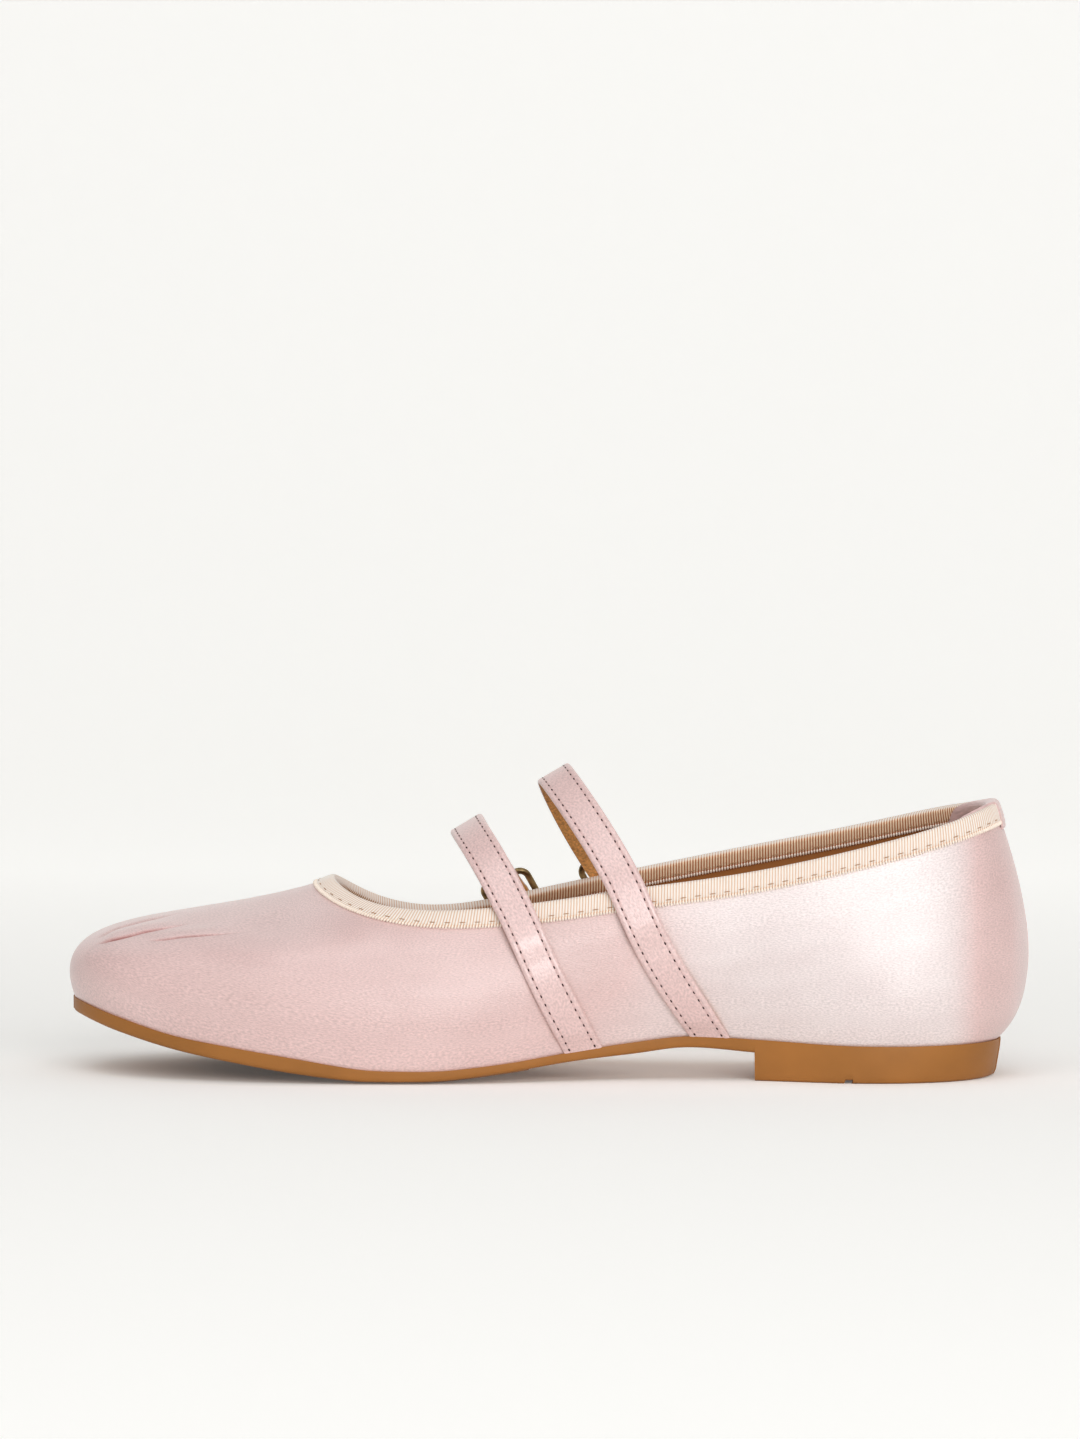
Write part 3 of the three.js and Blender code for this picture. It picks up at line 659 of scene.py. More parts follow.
def painted_satin_light(places, normals):
    """Painted light on the satin: a painted highlight on the quarter of the heel and along its back edge,
    with a painted shade band between them, all on the inner side; painted light from above on the vamp; and
    painted shade at the listed places.
    """
    s, y, z = np.moveaxis(places, -1, 0)
    # Painted highlight on the quarter of the heel.
    quarter = smooth(140, 70, s) * smooth(9, 23, s)
    # Painted highlight along the very back of the heel, and a painted shade band a little in front of it.
    back = 0.25 * smooth(7, 2, s) - 0.35 * np.exp(-((s - 11) / 5) ** 2)
    # Painted light from above on the upward faces of the vamp.
    vamp = 0.25 * smooth(0.5, 0.9, normals[..., 2]) * smooth(150, 190, s)
    painted_light = (quarter + back) * smooth(-6, 12, y) + vamp
    # Painted shade at each of the listed places.
    for middle, height, reach, rise, amount in PAINTED_SHADES:
        painted_light = painted_light - amount * np.exp(-(((s - middle) / reach) ** 2 + ((z - height) / rise) ** 2))
    return painted_light


def make_upper(props):
    ribs, rise = upper_ribs(UPPER_RIBS, FOLD_RIBS), np.linspace(-0.008, 1, UPPER_ROWS)
    u, v = np.meshgrid(ribs, rise, indexing="ij")
    lean = np.interp(u, RIB_LEAN[:, 0], RIB_LEAN[:, 1])
    u = u + lean * (v - 0.45) * smooth(0.08, 0.28, v) * smooth(0.94, 0.72, v)
    places, normals = skin(u, v), skin_normal(u, v)
    height, crease_shade = relief(u, v, places, normals, props.fold_depth)
    places = places + normals * height[..., None]
    middle_row, vamp_rib = 32, 300
    around, up = curve_length(places[:, middle_row]), curve_length(places[vamp_rib])
    chart = np.stack(np.meshgrid(around, up, indexing="ij"), -1)
    # Painted highlight and painted shade on the satin, as a mark for its material.
    painted_light = painted_satin_light(places, normals)
    # The fold mark carries the painted shade in the creases.
    piece = laid_grid("upper_satin", places, chart, {"painted_light": painted_light, "fold": crease_shade})
    edit(piece, weld)
    thicken(piece, SATIN_THICK)
    finish_piece(piece, finishes(props)["pink_satin"], "satin", "upper")


def make_lining(props):
    u, v = np.meshgrid(upper_ribs(260), np.linspace(1, 0, 24), indexing="ij")
    piece = laid_grid("upper_lining", off_skin(u, v, -WALL))
    edit(piece, weld)
    thicken(piece, LINING_THICK)
    finish_piece(piece, finishes(props)["lining_leather"], "lining_leather")


def even_ribs(count):
    """Ribs at even distances along the topline, and the length of the topline."""
    fine = np.linspace(0, 1, 6001)
    gone = curve_length(skin(fine, 1.0))
    return np.interp(np.arange(count + 1) / count, gone / gone[-1], fine), gone[-1]


def folded(u, rows, pull=None):
    """A section folded over the topline: (side, distance below the rim, lift) rows; over the rim the
    distance is negative and stands for a rise."""
    below = np.array([max(a, 0) for _, a, _ in rows])
    coarse = np.linspace(0, 1, 241)
    table = rim_heights(coarse, below)
    up = unit(skin_slopes(u, 1.0)[1])
    places = []
    for k, (side, a, lift) in enumerate(rows):
        v = np.interp(u % 1.0, coarse, table[:, k])
        if pull is not None:
            v = v + pull[:, k] * (1 - v) / max(a, 0.5)
        p = off_skin(u, v, lift if side > 0 else -WALL - lift)
        places.append(p + up * max(-a, 0))
    return np.stack(places, 1)


def ribbon_section():
    """The ribbon's section over the topline, its face and then its back, as rows for folded()."""
    high, deep, thick = BINDING_OUTSIDE, BINDING_INSIDE, BINDING_THICK + 0.1
    over = [(1, thick), (0.2, thick), (-0.45, 0.75), (-0.92, 0.2)]
    face = [(1, high, 0.28), (1, high - 0.35, 0.42), (1, high - 0.7, 0.6), (1, 3, 0.65), (1, 2, 0.75)]
    face += [(1, a, lift) for a, lift in over] + [(-1, a, lift) for a, lift in reversed(over)]
    face += [(-1, 2, 0.75), (-1, deep - 0.7, 0.6), (-1, deep - 0.35, 0.42), (-1, deep, 0.28)]
    back = [(-1, deep - 0.1, 0.05), (-1, 2, 0.08), (-1, -0.1, 0.08), (1, -0.1, 0.08), (1, 2, 0.08),
            (1, high - 0.1, 0.05), (1, high, 0.28)]
    return face, back


def make_binding(props):
    pitch = props.rib_pitch * 1000
    length = even_ribs(1)[1]
    count = round(length / pitch)
    steps = 5
    u, _ = even_ribs(count * steps)
    u[-1] = 0.0
    phase = np.arange(count * steps + 1) / steps
    crest = 0.5 + 0.5 * np.cos(2 * math.pi * phase)
    face, back = ribbon_section()
    rows = face + back
    raised = np.array([0.3] + [1.0] * (len(face) - 2) + [0.3] + [0.0] * (len(back) - 1) + [0.3])
    # Marks the rows inside the shoe, which take the warmer painted shade.
    inside = np.array([float(side < 0 and a > -0.5) for side, a, _ in rows])
    lower = np.array([a > BINDING_INSIDE - 0.2 for _, a, _ in rows])
    places = folded(u, rows, np.outer(crest, lower) * -0.2)
    way = unit(folded(u, [(side, a, lift + 1) for side, a, lift in rows]) - folded(u, rows))
    places = places + way * (np.outer(crest - 0.6, raised) * RIB_HEIGHT)[..., None]
    chart = np.stack(np.meshgrid(phase * pitch, np.arange(len(rows)) * 1.1, indexing="ij"), -1)
    rib = np.where(raised > 0, crest[:, None], 0.4)
    # Painted shade: a darker line just above each looped edge.
    rib[:, [1, len(face) - 2]] *= 0.3
    marks = {"rib": rib, "inside": np.broadcast_to(inside, rib.shape)}
    piece = closed(laid_grid("topline_ribbon", places, chart, marks))
    finish_piece(piece, finishes(props)["cream_ribbon"], "ribbon", "collar_binding", angle=60)
    make_picots(props, count)
    make_ribbon_stitches(props, round(length / (props.ribbon_stitch_pitch * 1000)))


def make_picots(props, count):
    """The looped edges of the ribbon, one loop at each rib."""
    u = even_ribs(count)[0][:-1]
    frames = []
    for side, edge in ((1, BINDING_OUTSIDE), (-1, BINDING_INSIDE)):
        line = folded(u, [(side, edge + 0.15, 0.45), (side, edge + 0.15, 1.45), (side, edge - 0.45, 0.5)])
        out, rise = unit(line[:, 1] - line[:, 0]), unit(line[:, 2] - line[:, 0])
        frames += [(p, (r, np.cross(z, r), z)) for p, r, z in zip(line[:, 0], rise, out)]
    loops = copies("ribbon_picots", bead(*PICOT_SIZE), frames)
    finish_piece(loops, finishes(props)["picot_thread"], "ribbon", angle=80)


def make_ribbon_stitches(props, count):
    u = even_ribs(count)[0][:-1]
    frames = []
    for side, edge in ((1, BINDING_OUTSIDE - 1), (-1, BINDING_INSIDE - 1)):
        line = folded(u, [(side, edge, 0.72), (side, edge, 1.72)])
        ahead = folded(u + 2e-4, [(side, edge, 0.72)])[:, 0]
        out, along = unit(line[:, 1] - line[:, 0]), unit(ahead - line[:, 0])
        frames += [(p, (a, np.cross(z, a), z)) for p, a, z in zip(line[:, 0], along, out)]
    stitches = copies("ribbon_stitches", bead(*RIBBON_STITCH_SIZE), frames)
    finish_piece(stitches, finishes(props)["tan_thread"], "ribbon", angle=80)


def make_tab(props):
    over = [(3, 1.15), (1, 1.2), (-0.5, 1.15), (-1.25, 0.7), (-1.5, 0.0)]
    rows = [(1, 6.2, 0.3), (1, 5.9, 0.7), (1, 4.6, 0.95)]
    rows += [(1, a, lift) for a, lift in over] + [(-1, a, lift) for a, lift in reversed(over)]
    rows += [(-1, 4.6, 0.9), (-1, 5.9, 0.6), (-1, 6.2, 0.25)]
    half_widths = [4.4] * 6 + [4.8, 6, 13, 17, 19.5, 21] + [22] * 4
    per_rib = np.linalg.norm(skin(0.002, 1.0) - skin(0.0, 1.0)) / 0.002
    t = np.linspace(-1, 1, 49)
    places = np.stack([folded((t * w / per_rib) % 1.0, [row])[:, 0] for w, row in zip(half_widths, rows)], 1)
    chart = np.stack(np.meshgrid(t * 6.2, np.arange(len(rows)) * 1.3, indexing="ij"), -1)
    piece = laid_grid("back_tab_satin", places, chart)
    thicken(piece, TAB_THICK)
    finish_piece(piece, finishes(props)["pink_satin"], "satin", "back_tab")


def sole_side(top, floor, low, in_heel, soft):
    """One side of a section of the sole, from the top to the rounded lower edge: (tuck, z) points."""
    side = []
    for f in (0, 0.06, 0.25, 0.5, 0.75, 0.9):
        z = mix(top, floor + soft, f)
        tuck = 0.05 if f == 0 else 0.0
        if in_heel:
            tuck += HEEL_RAKE * 0.3 * smooth(low, 0, z)
        side.append((tuck, z))
    last = side[-1][0]
    return side + [(last + out * soft, floor + up * soft) for out, up in ((0.06, 0.62), (0.3, 0.26), (1, 0))]


def sole_ring(s):
    """One section of the sole: over the top, down the side, across the underside and up again."""
    at = float(np.clip(s, HEEL_END + 0.02, TOE_END - 0.02))
    left, right = inner_edge(at) + SOLE_LIP, outer_edge(at) - SOLE_LIP
    top, low = float(sole_top(at)), float(sole_bottom(at))
    in_heel = at <= HEEL_BREAST
    floor = 0.0 if in_heel else low
    if abs(at - HEEL_GROOVE_S) < HEEL_GROOVE_WIDTH / 2:
        floor = HEEL_GROOVE_DEPTH
    soft = min(SOLE_ROUND, (left - right) / 6)
    side = sole_side(top, floor, low, in_heel, soft)
    tuck = side[-1][0]
    ring = [(mix(right, left, k / 6), top) for k in range(1, 6)]
    ring += [(left - d, z) for d, z in side]
    for k in range(1, 16):
        y = mix(left - tuck, right + tuck, k / 16)
        z = floor
        if PAD_START < at < PAD_END:
            in_pad = float(smooth(PAD_INSET - 0.1, PAD_INSET + 0.25, min(left - y, y - right)))
            z = max(floor - PAD_PROUD * in_pad, 0.0)
        ring.append((y, z))
    ring += [(right + d, z) for d, z in reversed(side)]
    return [(heel_rake(s, z), y, z) for y, z in ring + ring[:1]]


def heel_rake(s, z):
    """The heel draws in towards the floor at its back."""
    if s > HEEL_BREAST:
        return s
    inset = float(np.interp(z, [0, 0.35, 1.2, 8.4], [2.3, 1.6, 1.2, 0]))
    return HEEL_BREAST - (HEEL_BREAST - s) * (1 - inset / (HEEL_BREAST - HEEL_END))


def crowded(count, margin):
    """Shares from 0 to 1 that lie closer together towards both ends."""
    return (1 - np.cos(np.linspace(margin, math.pi - margin, count))) / 2


def capped(rings):
    """Closed rings with a point at the middle of each end; the last place of a ring repeats its first."""
    ends = [np.repeat(ring[:-1].mean(0)[None], len(ring), 0)[None] for ring in (rings[0], rings[-1])]
    return np.concatenate([ends[0], rings, ends[1]])


def make_sole(props):
    stations = list(mix(HEEL_END - 0.3, TOE_END + 0.3, crowded(170, 0.02)))
    half = HEEL_GROOVE_WIDTH / 2
    for s in (HEEL_BREAST, HEEL_GROOVE_S - half, HEEL_GROOVE_S + half, PAD_START, PAD_END):
        stations = [t for t in stations if abs(t - s) > 0.4] + [s - 0.04, s + 0.04]
    rings = np.array([sole_ring(s) for s in sorted(stations)])
    piece = closed(laid_grid("sole_unit", capped(rings)))
    finish_piece(piece, finishes(props)["caramel_rubber"], "sole_rubber", "outsole", angle=38)


def face_up(piece):
    if np.mean([p.normal.z for p in piece.data.polygons]) < 0:
        edit(piece, bpy.ops.mesh.flip_normals)


def make_insole(props):
    rows = []
    for share in crowded(90, 0.05):
        s = mix(HEEL_END + INSOLE_INSET, TOE_END - INSOLE_INSET, share)
        edge = mix(HEEL_END, TOE_END, share)
        left, right = (w - INSOLE_INSET * min(1, w / 8) for w in (inner_edge(edge), -outer_edge(edge)))
        across = np.linspace(-1, 1, 25)
        z = sole_top(s) + GAP + INSOLE_TOP + 0.9 * np.abs(across) ** 6
        rows.append(np.stack([np.full(25, s), np.linspace(-right, left, 25), z], 1))
    piece = laid_grid("insole_sock", np.array(rows)[:, ::-1])
    face_up(piece)
    thicken(piece, INSOLE_THICK)
    finish_piece(piece, finishes(props)["lining_leather"], "lining_leather", "insole")


def across_skin(path, t, d, lift):
    """Places on the skin at distances d across a strap that follows a path (u, v)."""
    u, v = path(t)
    u2, v2 = path(t + 0.01)
    tangent = unit(skin(u2, v2) - skin(u, v))
    square = unit(np.cross(skin_normal(u, v), tangent))
    along_u, along_v = skin_slopes(u, v)
    level = unit(along_u)
    wide = mix(square, level * np.sign(level @ square), float(1 - smooth(0, 0.3, v)))
    wide = wide / (wide @ square)
    uu, uv, vv = along_u @ along_u, along_u @ along_v, along_v @ along_v
    du = ((wide @ along_u) * vv - (wide @ along_v) * uv) / (uu * vv - uv * uv)
    dv = ((wide @ along_v) * uu - (wide @ along_u) * uv) / (uu * vv - uv * uv)
    d, lift = np.broadcast_arrays(np.asarray(d, float), np.asarray(lift, float))
    beyond = np.maximum(v + dv * d - 1, 0)
    at_u = u + du * d
    rise = skin_slopes(at_u, np.ones_like(at_u))[1]
    return off_skin(at_u, v + dv * d - beyond, lift) + rise * beyond[..., None]


def bezier(a, b, c, d, t):
    place = (1 - t) ** 3 * a + 3 * t * (1 - t) ** 2 * b + 3 * t * t * (1 - t) * c + t ** 3 * d
    way = (1 - t) ** 2 * (b - a) + 2 * t * (1 - t) * (c - b) + t * t * (d - c)
    return place, unit(way)


class StrapRun:
    """One strap: up the inner side, over the instep and down to its tail, and the short strap outside."""

    def __init__(self, sole_in, rim_in, bow_back, top_s, top_z, rim_out, sole_out, reach=0.4):
        in_foot, in_rim = rib_at(0, sole_in, False), rib_at(3, rim_in, False)
        out_foot, out_rim = rib_at(0, sole_out, True), rib_at(3, rim_out, True)
        back = in_rim - rib_at(3, rim_in - bow_back, False)
        self.up_path = lambda t: (mix(in_foot, in_rim, t) - back * 4 * t * (1 - t), t)
        self.down_path = lambda t: (mix(out_foot, out_rim, t), t)
        below_rim = [BUCKLE_BELOW_RIM, STRAP_TAIL, BUCKLE_BELOW_RIM + BUCKLE_ROD + GAP + STRAP_SLACK]
        self.rim_v, self.tail_v, self.anchor_v = rim_heights(np.array([out_rim]), below_rim)[0]
        half, mid = STRAP_WIDTH / 2, STRAP_THICK / 2
        self.wide_in = unit(self.climb(1, half, 0) - self.climb(1, -half, 0))
        self.wide_out = unit(self.drop(1, half, 0) - self.drop(1, -half, 0))
        start, end = self.climb(1, 0, mid), self.drop(1, 0, mid)
        start_way = unit(start - self.climb(1 - 0.076, 0, mid))
        self.end_way = unit(self.drop(mix(1, self.tail_v, 1 / 8), 0, mid) - end)
        top = np.array([top_s, 0, top_z])
        flat = unit(np.cross(top - start, end - start))
        self.flat = flat if flat @ self.wide_in > 0 else -flat
        top_way = unit(end - start)
        reach_in, reach_out = np.linalg.norm(top - start) * reach, np.linalg.norm(top - end) * 0.4
        self.bow_in = (start, start + start_way * reach_in, top - top_way * reach_in, top)
        self.bow_out = (top, top + top_way * reach_out, end - self.end_way * reach_out, end)

    @staticmethod
    def press(t):
        """How far the strap has come out of the feather line, where the sole holds it."""
        return 0.35 + 0.65 * smooth(0, 0.14, t)

    def climb(self, t, d, h):
        press = self.press(t)
        lift = mix(0.1, GAP, press) + (STRAP_OVER_RIM - GAP) * smooth(0.62, 0.82, t)
        return across_skin(self.up_path, t, d, lift + np.asarray(h) * press)

    def bow(self, t, d, h):
        inward = t < 0.5
        f = 2 * t if inward else 2 * t - 1
        centre, way = bezier(*(self.bow_in if inward else self.bow_out), f)
        s = float(smooth(0, 1, f))
        edge = mix(self.wide_in, self.flat, s) if inward else mix(self.flat, self.wide_out, s)
        edge = unit(edge - way * (edge @ way))
        normal = unit(np.cross(way, edge))
        d, h = np.asarray(d, float)[..., None], np.asarray(h, float)[..., None]
        return centre + edge * d + normal * (h - STRAP_THICK / 2)

    def drop(self, t, d, h):
        over_bar = PIVOT_LIFT + BUCKLE_ROD + GAP + STRAP_SLACK
        rise = mix(STRAP_OVER_RIM, over_bar, smooth(1, self.rim_v + 0.02, t))
        lift = mix(rise, 2 * GAP + STRAP_THICK, smooth(self.rim_v - 0.02, self.tail_v + 0.05, t))
        return across_skin(self.down_path, t, -np.asarray(d), lift + np.asarray(h))

    def anchor(self, t, d, h):
        press = self.press(t)
        return across_skin(self.down_path, t, -np.asarray(d), mix(0.1, GAP, press) + np.asarray(h) * press)

    def sections(self):
        """Section makers from the sole on the inner side to the end of the tail."""
        made = [partial(self.climb, t) for t in np.linspace(-0.004, 1, 72)]
        made += [partial(self.bow, t) for t in np.linspace(0, 1, 84)[1:-1]]
        return made + [partial(self.drop, t) for t in np.linspace(1, self.tail_v, 40)]

    def anchor_sections(self):
        return [partial(self.anchor, t) for t in np.linspace(-0.004, self.anchor_v, 40)]


def strap_face():
    """Half section of a strap's face: fraction of the half width and height above its underside."""
    x = np.array([0, 0.2, 0.4, 0.52, 0.58, 0.61, 0.635, 0.665, 0.695, 0.72, 0.75, 0.8, 0.86, 0.91, 0.95,
                  0.98, 0.997])
    edge = 1.34 - 0.62 * (1 - np.sqrt(np.clip(1 - (np.clip(x - 0.82, 0, 1) / 0.18) ** 2, 0, 1)))
    face = edge + 0.07 * np.exp(-((x - 0.82) / 0.08) ** 2) - 0.02 * x
    return x, face - 0.15 * np.exp(-((x - GROOVE_AT) / GROOVE_HALF) ** 2)


def swept(sections, widths, x, h):
    """A strap's section, in shares of its half width, at each of its section makers."""
    return np.stack([make(np.asarray(x) * STRAP_WIDTH / 2 * w, h) for make, w in zip(sections, widths)])


def lay_strap(name, sections, widths):
    """Satin body and backing of a strap; returns them with its groove lines for the stitches."""
    x, face = strap_face()
    ring_x = np.concatenate([-x[::-1], x[1:], [1.0, 0.985, 0.5, 0, -0.5, -0.985, -1.0], [-x[-1]]])
    ring_h = np.concatenate([face[::-1], face[1:], [0.62, 0.42, 0.4, 0.4, 0.4, 0.42, 0.62], [face[-1]]])
    # Mark for the painted shade in the stitch grooves.
    groove = 0.3 * np.exp(-((np.abs(ring_x) - GROOVE_AT) / GROOVE_HALF) ** 2)
    groove[len(x) * 2 - 1:] = 0
    body = swept(sections, widths, ring_x, ring_h)
    along = curve_length(body[:, len(x) - 1])
    along = np.concatenate([along[:1], along, along[-1:]])
    chart = np.stack(np.meshgrid(along, ring_x * STRAP_WIDTH / 2, indexing="ij"), -1)
    mark = np.broadcast_to(groove, chart.shape[:2]).copy()
    mark[[0, -1]] = 0
    satin = closed(laid_grid(name + "_satin", capped(body), chart, {"groove": mark}))
    back_x = [-0.96, -0.97, -0.5, 0, 0.5, 0.97, 0.96, 0.5, 0, -0.5, -0.96]
    back_h = np.array([0.1, 0.45, 0.46, 0.46, 0.46, 0.45, 0.1, 0.0, 0.0, 0.0, 0.1])
    backing = closed(laid_grid(name + "_backing", capped(swept(sections, widths, back_x, back_h))))
    lines = []
    for x_groove in (-GROOVE_AT, GROOVE_AT):
        low, high = (swept(sections, widths, x_groove, GROOVE_HEIGHT + h) for h in (0, 1))
        lines.append((low, unit(high - low)))
    return satin, backing, lines


def dashes(line, up, pitch, shift, start, end):
    """Frames at an even pitch along a line."""
    gone = curve_length(line)

    def at(distance, values):
        return np.stack([np.interp(distance, gone, values[:, k]) for k in range(3)], 1)

    stops = np.arange(start + shift * pitch, gone[-1] - end, pitch)
    place, normal = at(stops, line), unit(at(stops, up))
    way = unit(at(stops + 0.3, line) - at(stops - 0.3, line))
    side = unit(np.cross(normal, way))
    return [(p, (w, s, np.cross(w, s))) for p, w, s in zip(place, way, side)]


def tail_widths(sections):
    """Shares of the strap's width along its sections, rounded off at the end of the tail."""
    widths = np.ones(len(sections))
    last = sections[-TAIL_SECTIONS:]
    to_end = np.array([np.linalg.norm(make(0, 0.7) - last[-1](0, 0.7)) for make in last])
    near = np.clip(1 - to_end / TAIL_ROUND, 0, 1)
    widths[-TAIL_SECTIONS:] = np.sqrt(np.clip(1 - near ** 2, 0.02, 1))
    return widths


def make_straps(props):
    looks = finishes(props)
    pitch = props.strap_stitch_pitch * 1000
    threads, holes = [], []
    for key, row in STRAPS.items():
        run = StrapRun(**row)
        long_strap, short_strap = run.sections(), run.anchor_sections()
        for node, sections, widths in ((f"strap_{key}", long_strap, tail_widths(long_strap)),
                                       (f"buckle_strap_{key}", short_strap, np.ones(len(short_strap)))):
            satin, backing, lines = lay_strap(node + "_band", sections, widths)
            finish_piece(satin, looks["pink_satin"], "satin", node, angle=50)
            finish_piece(backing, looks["strap_suede"], "satin", angle=50)
            for line, up in lines:
                threads += dashes(line, up, pitch, 0.5, 1, 5)
                holes += dashes(line, up, pitch, 0.0, 1, 5)
    stitches = copies("strap_stitches", bead(*STRAP_STITCH_SIZE), threads)
    finish_piece(stitches, looks["rose_thread"], "satin", angle=80)
    # Nearly black beads in the needle holes: painted shade in the holes.
    needle_holes = copies("strap_needle_holes", bead(*NEEDLE_HOLE_SIZE), holes)
    finish_piece(needle_holes, looks["needle_hole_shade"], "satin", angle=80)


def rod(name, points, ways, out, radius, sides, flat=1.0):
    """A round bar along points, with a radius at each of them."""
    angle = np.linspace(0, 2 * math.pi, sides + 1)
    rings = []
    for p, w, r in zip(points, ways, radius):
        side = unit(np.cross(w, out))
        up = np.cross(side, w)
        rings.append(p + np.outer(np.cos(angle), side) * r + np.outer(np.sin(angle), up) * r * flat)
    return closed(laid_grid(name, np.array(rings)))


class BuckleSeat:
    """Where a buckle lies on its strap: its length, its middle and its wide, long and outward ways."""

    def __init__(self, run):
        pivot = across_skin(run.down_path, run.rim_v, 0, PIVOT_LIFT)
        end = run.bow_out[-1]
        line = [bezier(*run.bow_out, 1 - i / 120)[0] for i in range(60)]
        over = next(p for p in line if np.linalg.norm(p - end) > BUCKLE_ABOVE_RIM)
        lift = STRAP_THICK / 2 + GAP + BUCKLE_ROD + STRAP_SLACK
        front = over + unit(np.cross(run.end_way, run.wide_out)) * lift
        self.length = np.linalg.norm(front - pivot)
        self.middle = (pivot + front) / 2
        self.long = (front - pivot) / self.length
        self.wide = unit(run.wide_out - self.long * (run.wide_out @ self.long))
        out = unit(np.cross(self.wide, self.long))
        self.out = -out if out[1] > 0 else out

    def place(self, across, along, lift):
        return self.middle + self.wide * across + self.long * along + self.out * lift


def bend_frame(name, seat):
    """The buckle's frame: a bar bent to a rectangle with round corners."""
    r = BUCKLE_CORNER
    a, b = BUCKLE_WIDTH / 2 - r, seat.length / 2 - r
    points, ways = [], []
    for across, along, turn in ((a, b, 0), (-a, b, 1), (-a, -b, 2), (a, -b, 3)):
        for angle in (turn + np.linspace(0, 1, 10)) * math.pi / 2:
            points.append(seat.place(across + r * math.cos(angle), along + r * math.sin(angle), 0))
            ways.append(seat.long * math.cos(angle) - seat.wide * math.sin(angle))
    points, ways = points + points[:1], ways + ways[:1]
    return rod(name, points, ways, seat.out, [BUCKLE_ROD] * len(points), sides=14, flat=0.9)


def bend_prong(name, seat):
    """The prong: from the bar in the strap over the frame's far bar, with rounded tips."""
    rest, half = BUCKLE_ROD + PRONG_ROD + GAP, seat.length / 2
    knots = np.array([seat.place(0, along, lift) for along, lift in (
        (rest - half, 0), (rest - half + 1.2, 0.6), (half - 2.6, rest + 0.5), (half, rest + 0.1),
        (half + 1.7, rest - 0.3))])
    t = np.linspace(0, 4, 41)
    points = np.stack([open_curve(np.arange(5.0), knots[:, k])(t) for k in range(3)], 1)
    ways = unit(np.gradient(points, axis=0))
    from_tip = np.clip(np.minimum(t, 4 - t) / 0.3, 0, 1)
    radius = PRONG_ROD * np.sqrt(1 - (1 - from_tip) ** 2)
    return rod(name, points, ways, seat.out, radius, sides=12)


def make_buckles(props):
    brass = finishes(props)["antique_brass"]
    for key, row in STRAPS.items():
        seat = BuckleSeat(StrapRun(**row))
        bar = bend_frame(f"buckle_{key}_frame", seat)
        finish_piece(bar, brass, "buckle_metal", f"buckle_{key}", angle=60)
        prong = bend_prong(f"buckle_{key}_prong", seat)
        finish_piece(prong, brass, "buckle_metal", f"buckle_prong_{key}", angle=60)


def area_light(name, place, target, size, energy):
    clear_selection()
    bpy.ops.object.light_add(type="AREA", location=place)
    lamp = bpy.context.object
    lamp.name = name
    lamp.data.shape = "RECTANGLE"
    lamp.data.size, lamp.data.size_y = size
    lamp.data.energy = energy
    lamp.rotation_euler = (Vector(target) - Vector(place)).to_track_quat("-Z", "Y").to_euler()
    return lamp


def paper_spot(tree, centre, reach):
    """A soft round spot on the studio paper, 1 in its middle."""
    place = add_node(tree, "TexCoord").outputs["Object"]
    spot = add_node(tree, "Mapping", {"Vector": place, "Location": (*centre, 0), "Scale": (*reach, 1)},
                    vector_type="TEXTURE").outputs["Vector"]
    return add_node(tree, "TexGradient", {"Vector": spot}, gradient_type="SPHERICAL").outputs["Fac"]


def paper_material(color, glow):
    """Studio paper: a fine speck, a painted shadow under the toe, a painted glow that lifts the shade under
    the arch and a paler distance.
    """
    tree, shader = new_material("studio_paper")
    speck = noise(tree, stretched(tree, "Object", (900, 900, 900)))
    toe_spot = paper_spot(tree, (0.065, -0.004), (0.055, 0.05))
    arch_spot = paper_spot(tree, (-0.03, -0.025), (0.05, 0.045))
    # Painted shadow under the toe.
    toe_shade = ramp(tree, toe_spot, (1, 1, 1), (0.55, 0.561, 0.572), 0.0, 0.6)
    colour = blend(tree, 1.0, ramp(tree, speck, tint(color, 0.995), color), toe_shade, "MULTIPLY")
    place = add_node(tree, "TexCoord").outputs["Object"]
    depth = add_node(tree, "SeparateXYZ", {0: place}).outputs["Y"]
    distance = span(tree, depth, glow, glow + 0.2, -0.1, -0.7)
    # Painted glow under the arch, which lifts the shade beneath it.
    arch = span(tree, arch_spot, 0, 0.2, 0, 0.5)
    light = add_node(tree, "Math", {0: distance, 1: arch}, operation="ADD").outputs["Value"]
    feed(shader, {"Base Color": colour, "Roughness": 0.9, "Specular IOR Level": 0.1,
                  "Emission Color": colour, "Emission Strength": light})


def make_sweep(props):
    """The floor that turns up into the backdrop in one sweep, in metres."""
    turn = np.linspace(0, 1, 14)[1:] * math.pi / 2
    depth = np.concatenate([np.linspace(2.6, -1.4, 12), -1.4 - 0.9 * np.sin(turn), np.full(4, -2.3)])
    rise = np.concatenate([np.zeros(12), 0.9 - 0.9 * np.cos(turn), np.linspace(1.2, 3, 4)])
    wide = np.linspace(-3, 3, 13)
    rows = np.stack([np.stack([wide, np.full(13, d), np.full(13, z)], 1) for d, z in zip(depth, rise)])
    backdrop = laid_grid("studio_sweep", rows * 1000 + (ORIGIN_S, ORIGIN_Y, 0))
    face_up(backdrop)
    soften(backdrop, 60)
    paper_material(props.floor, props.floor_glow)
    backdrop.data.materials.append(bpy.data.materials["studio_paper"])
    return backdrop


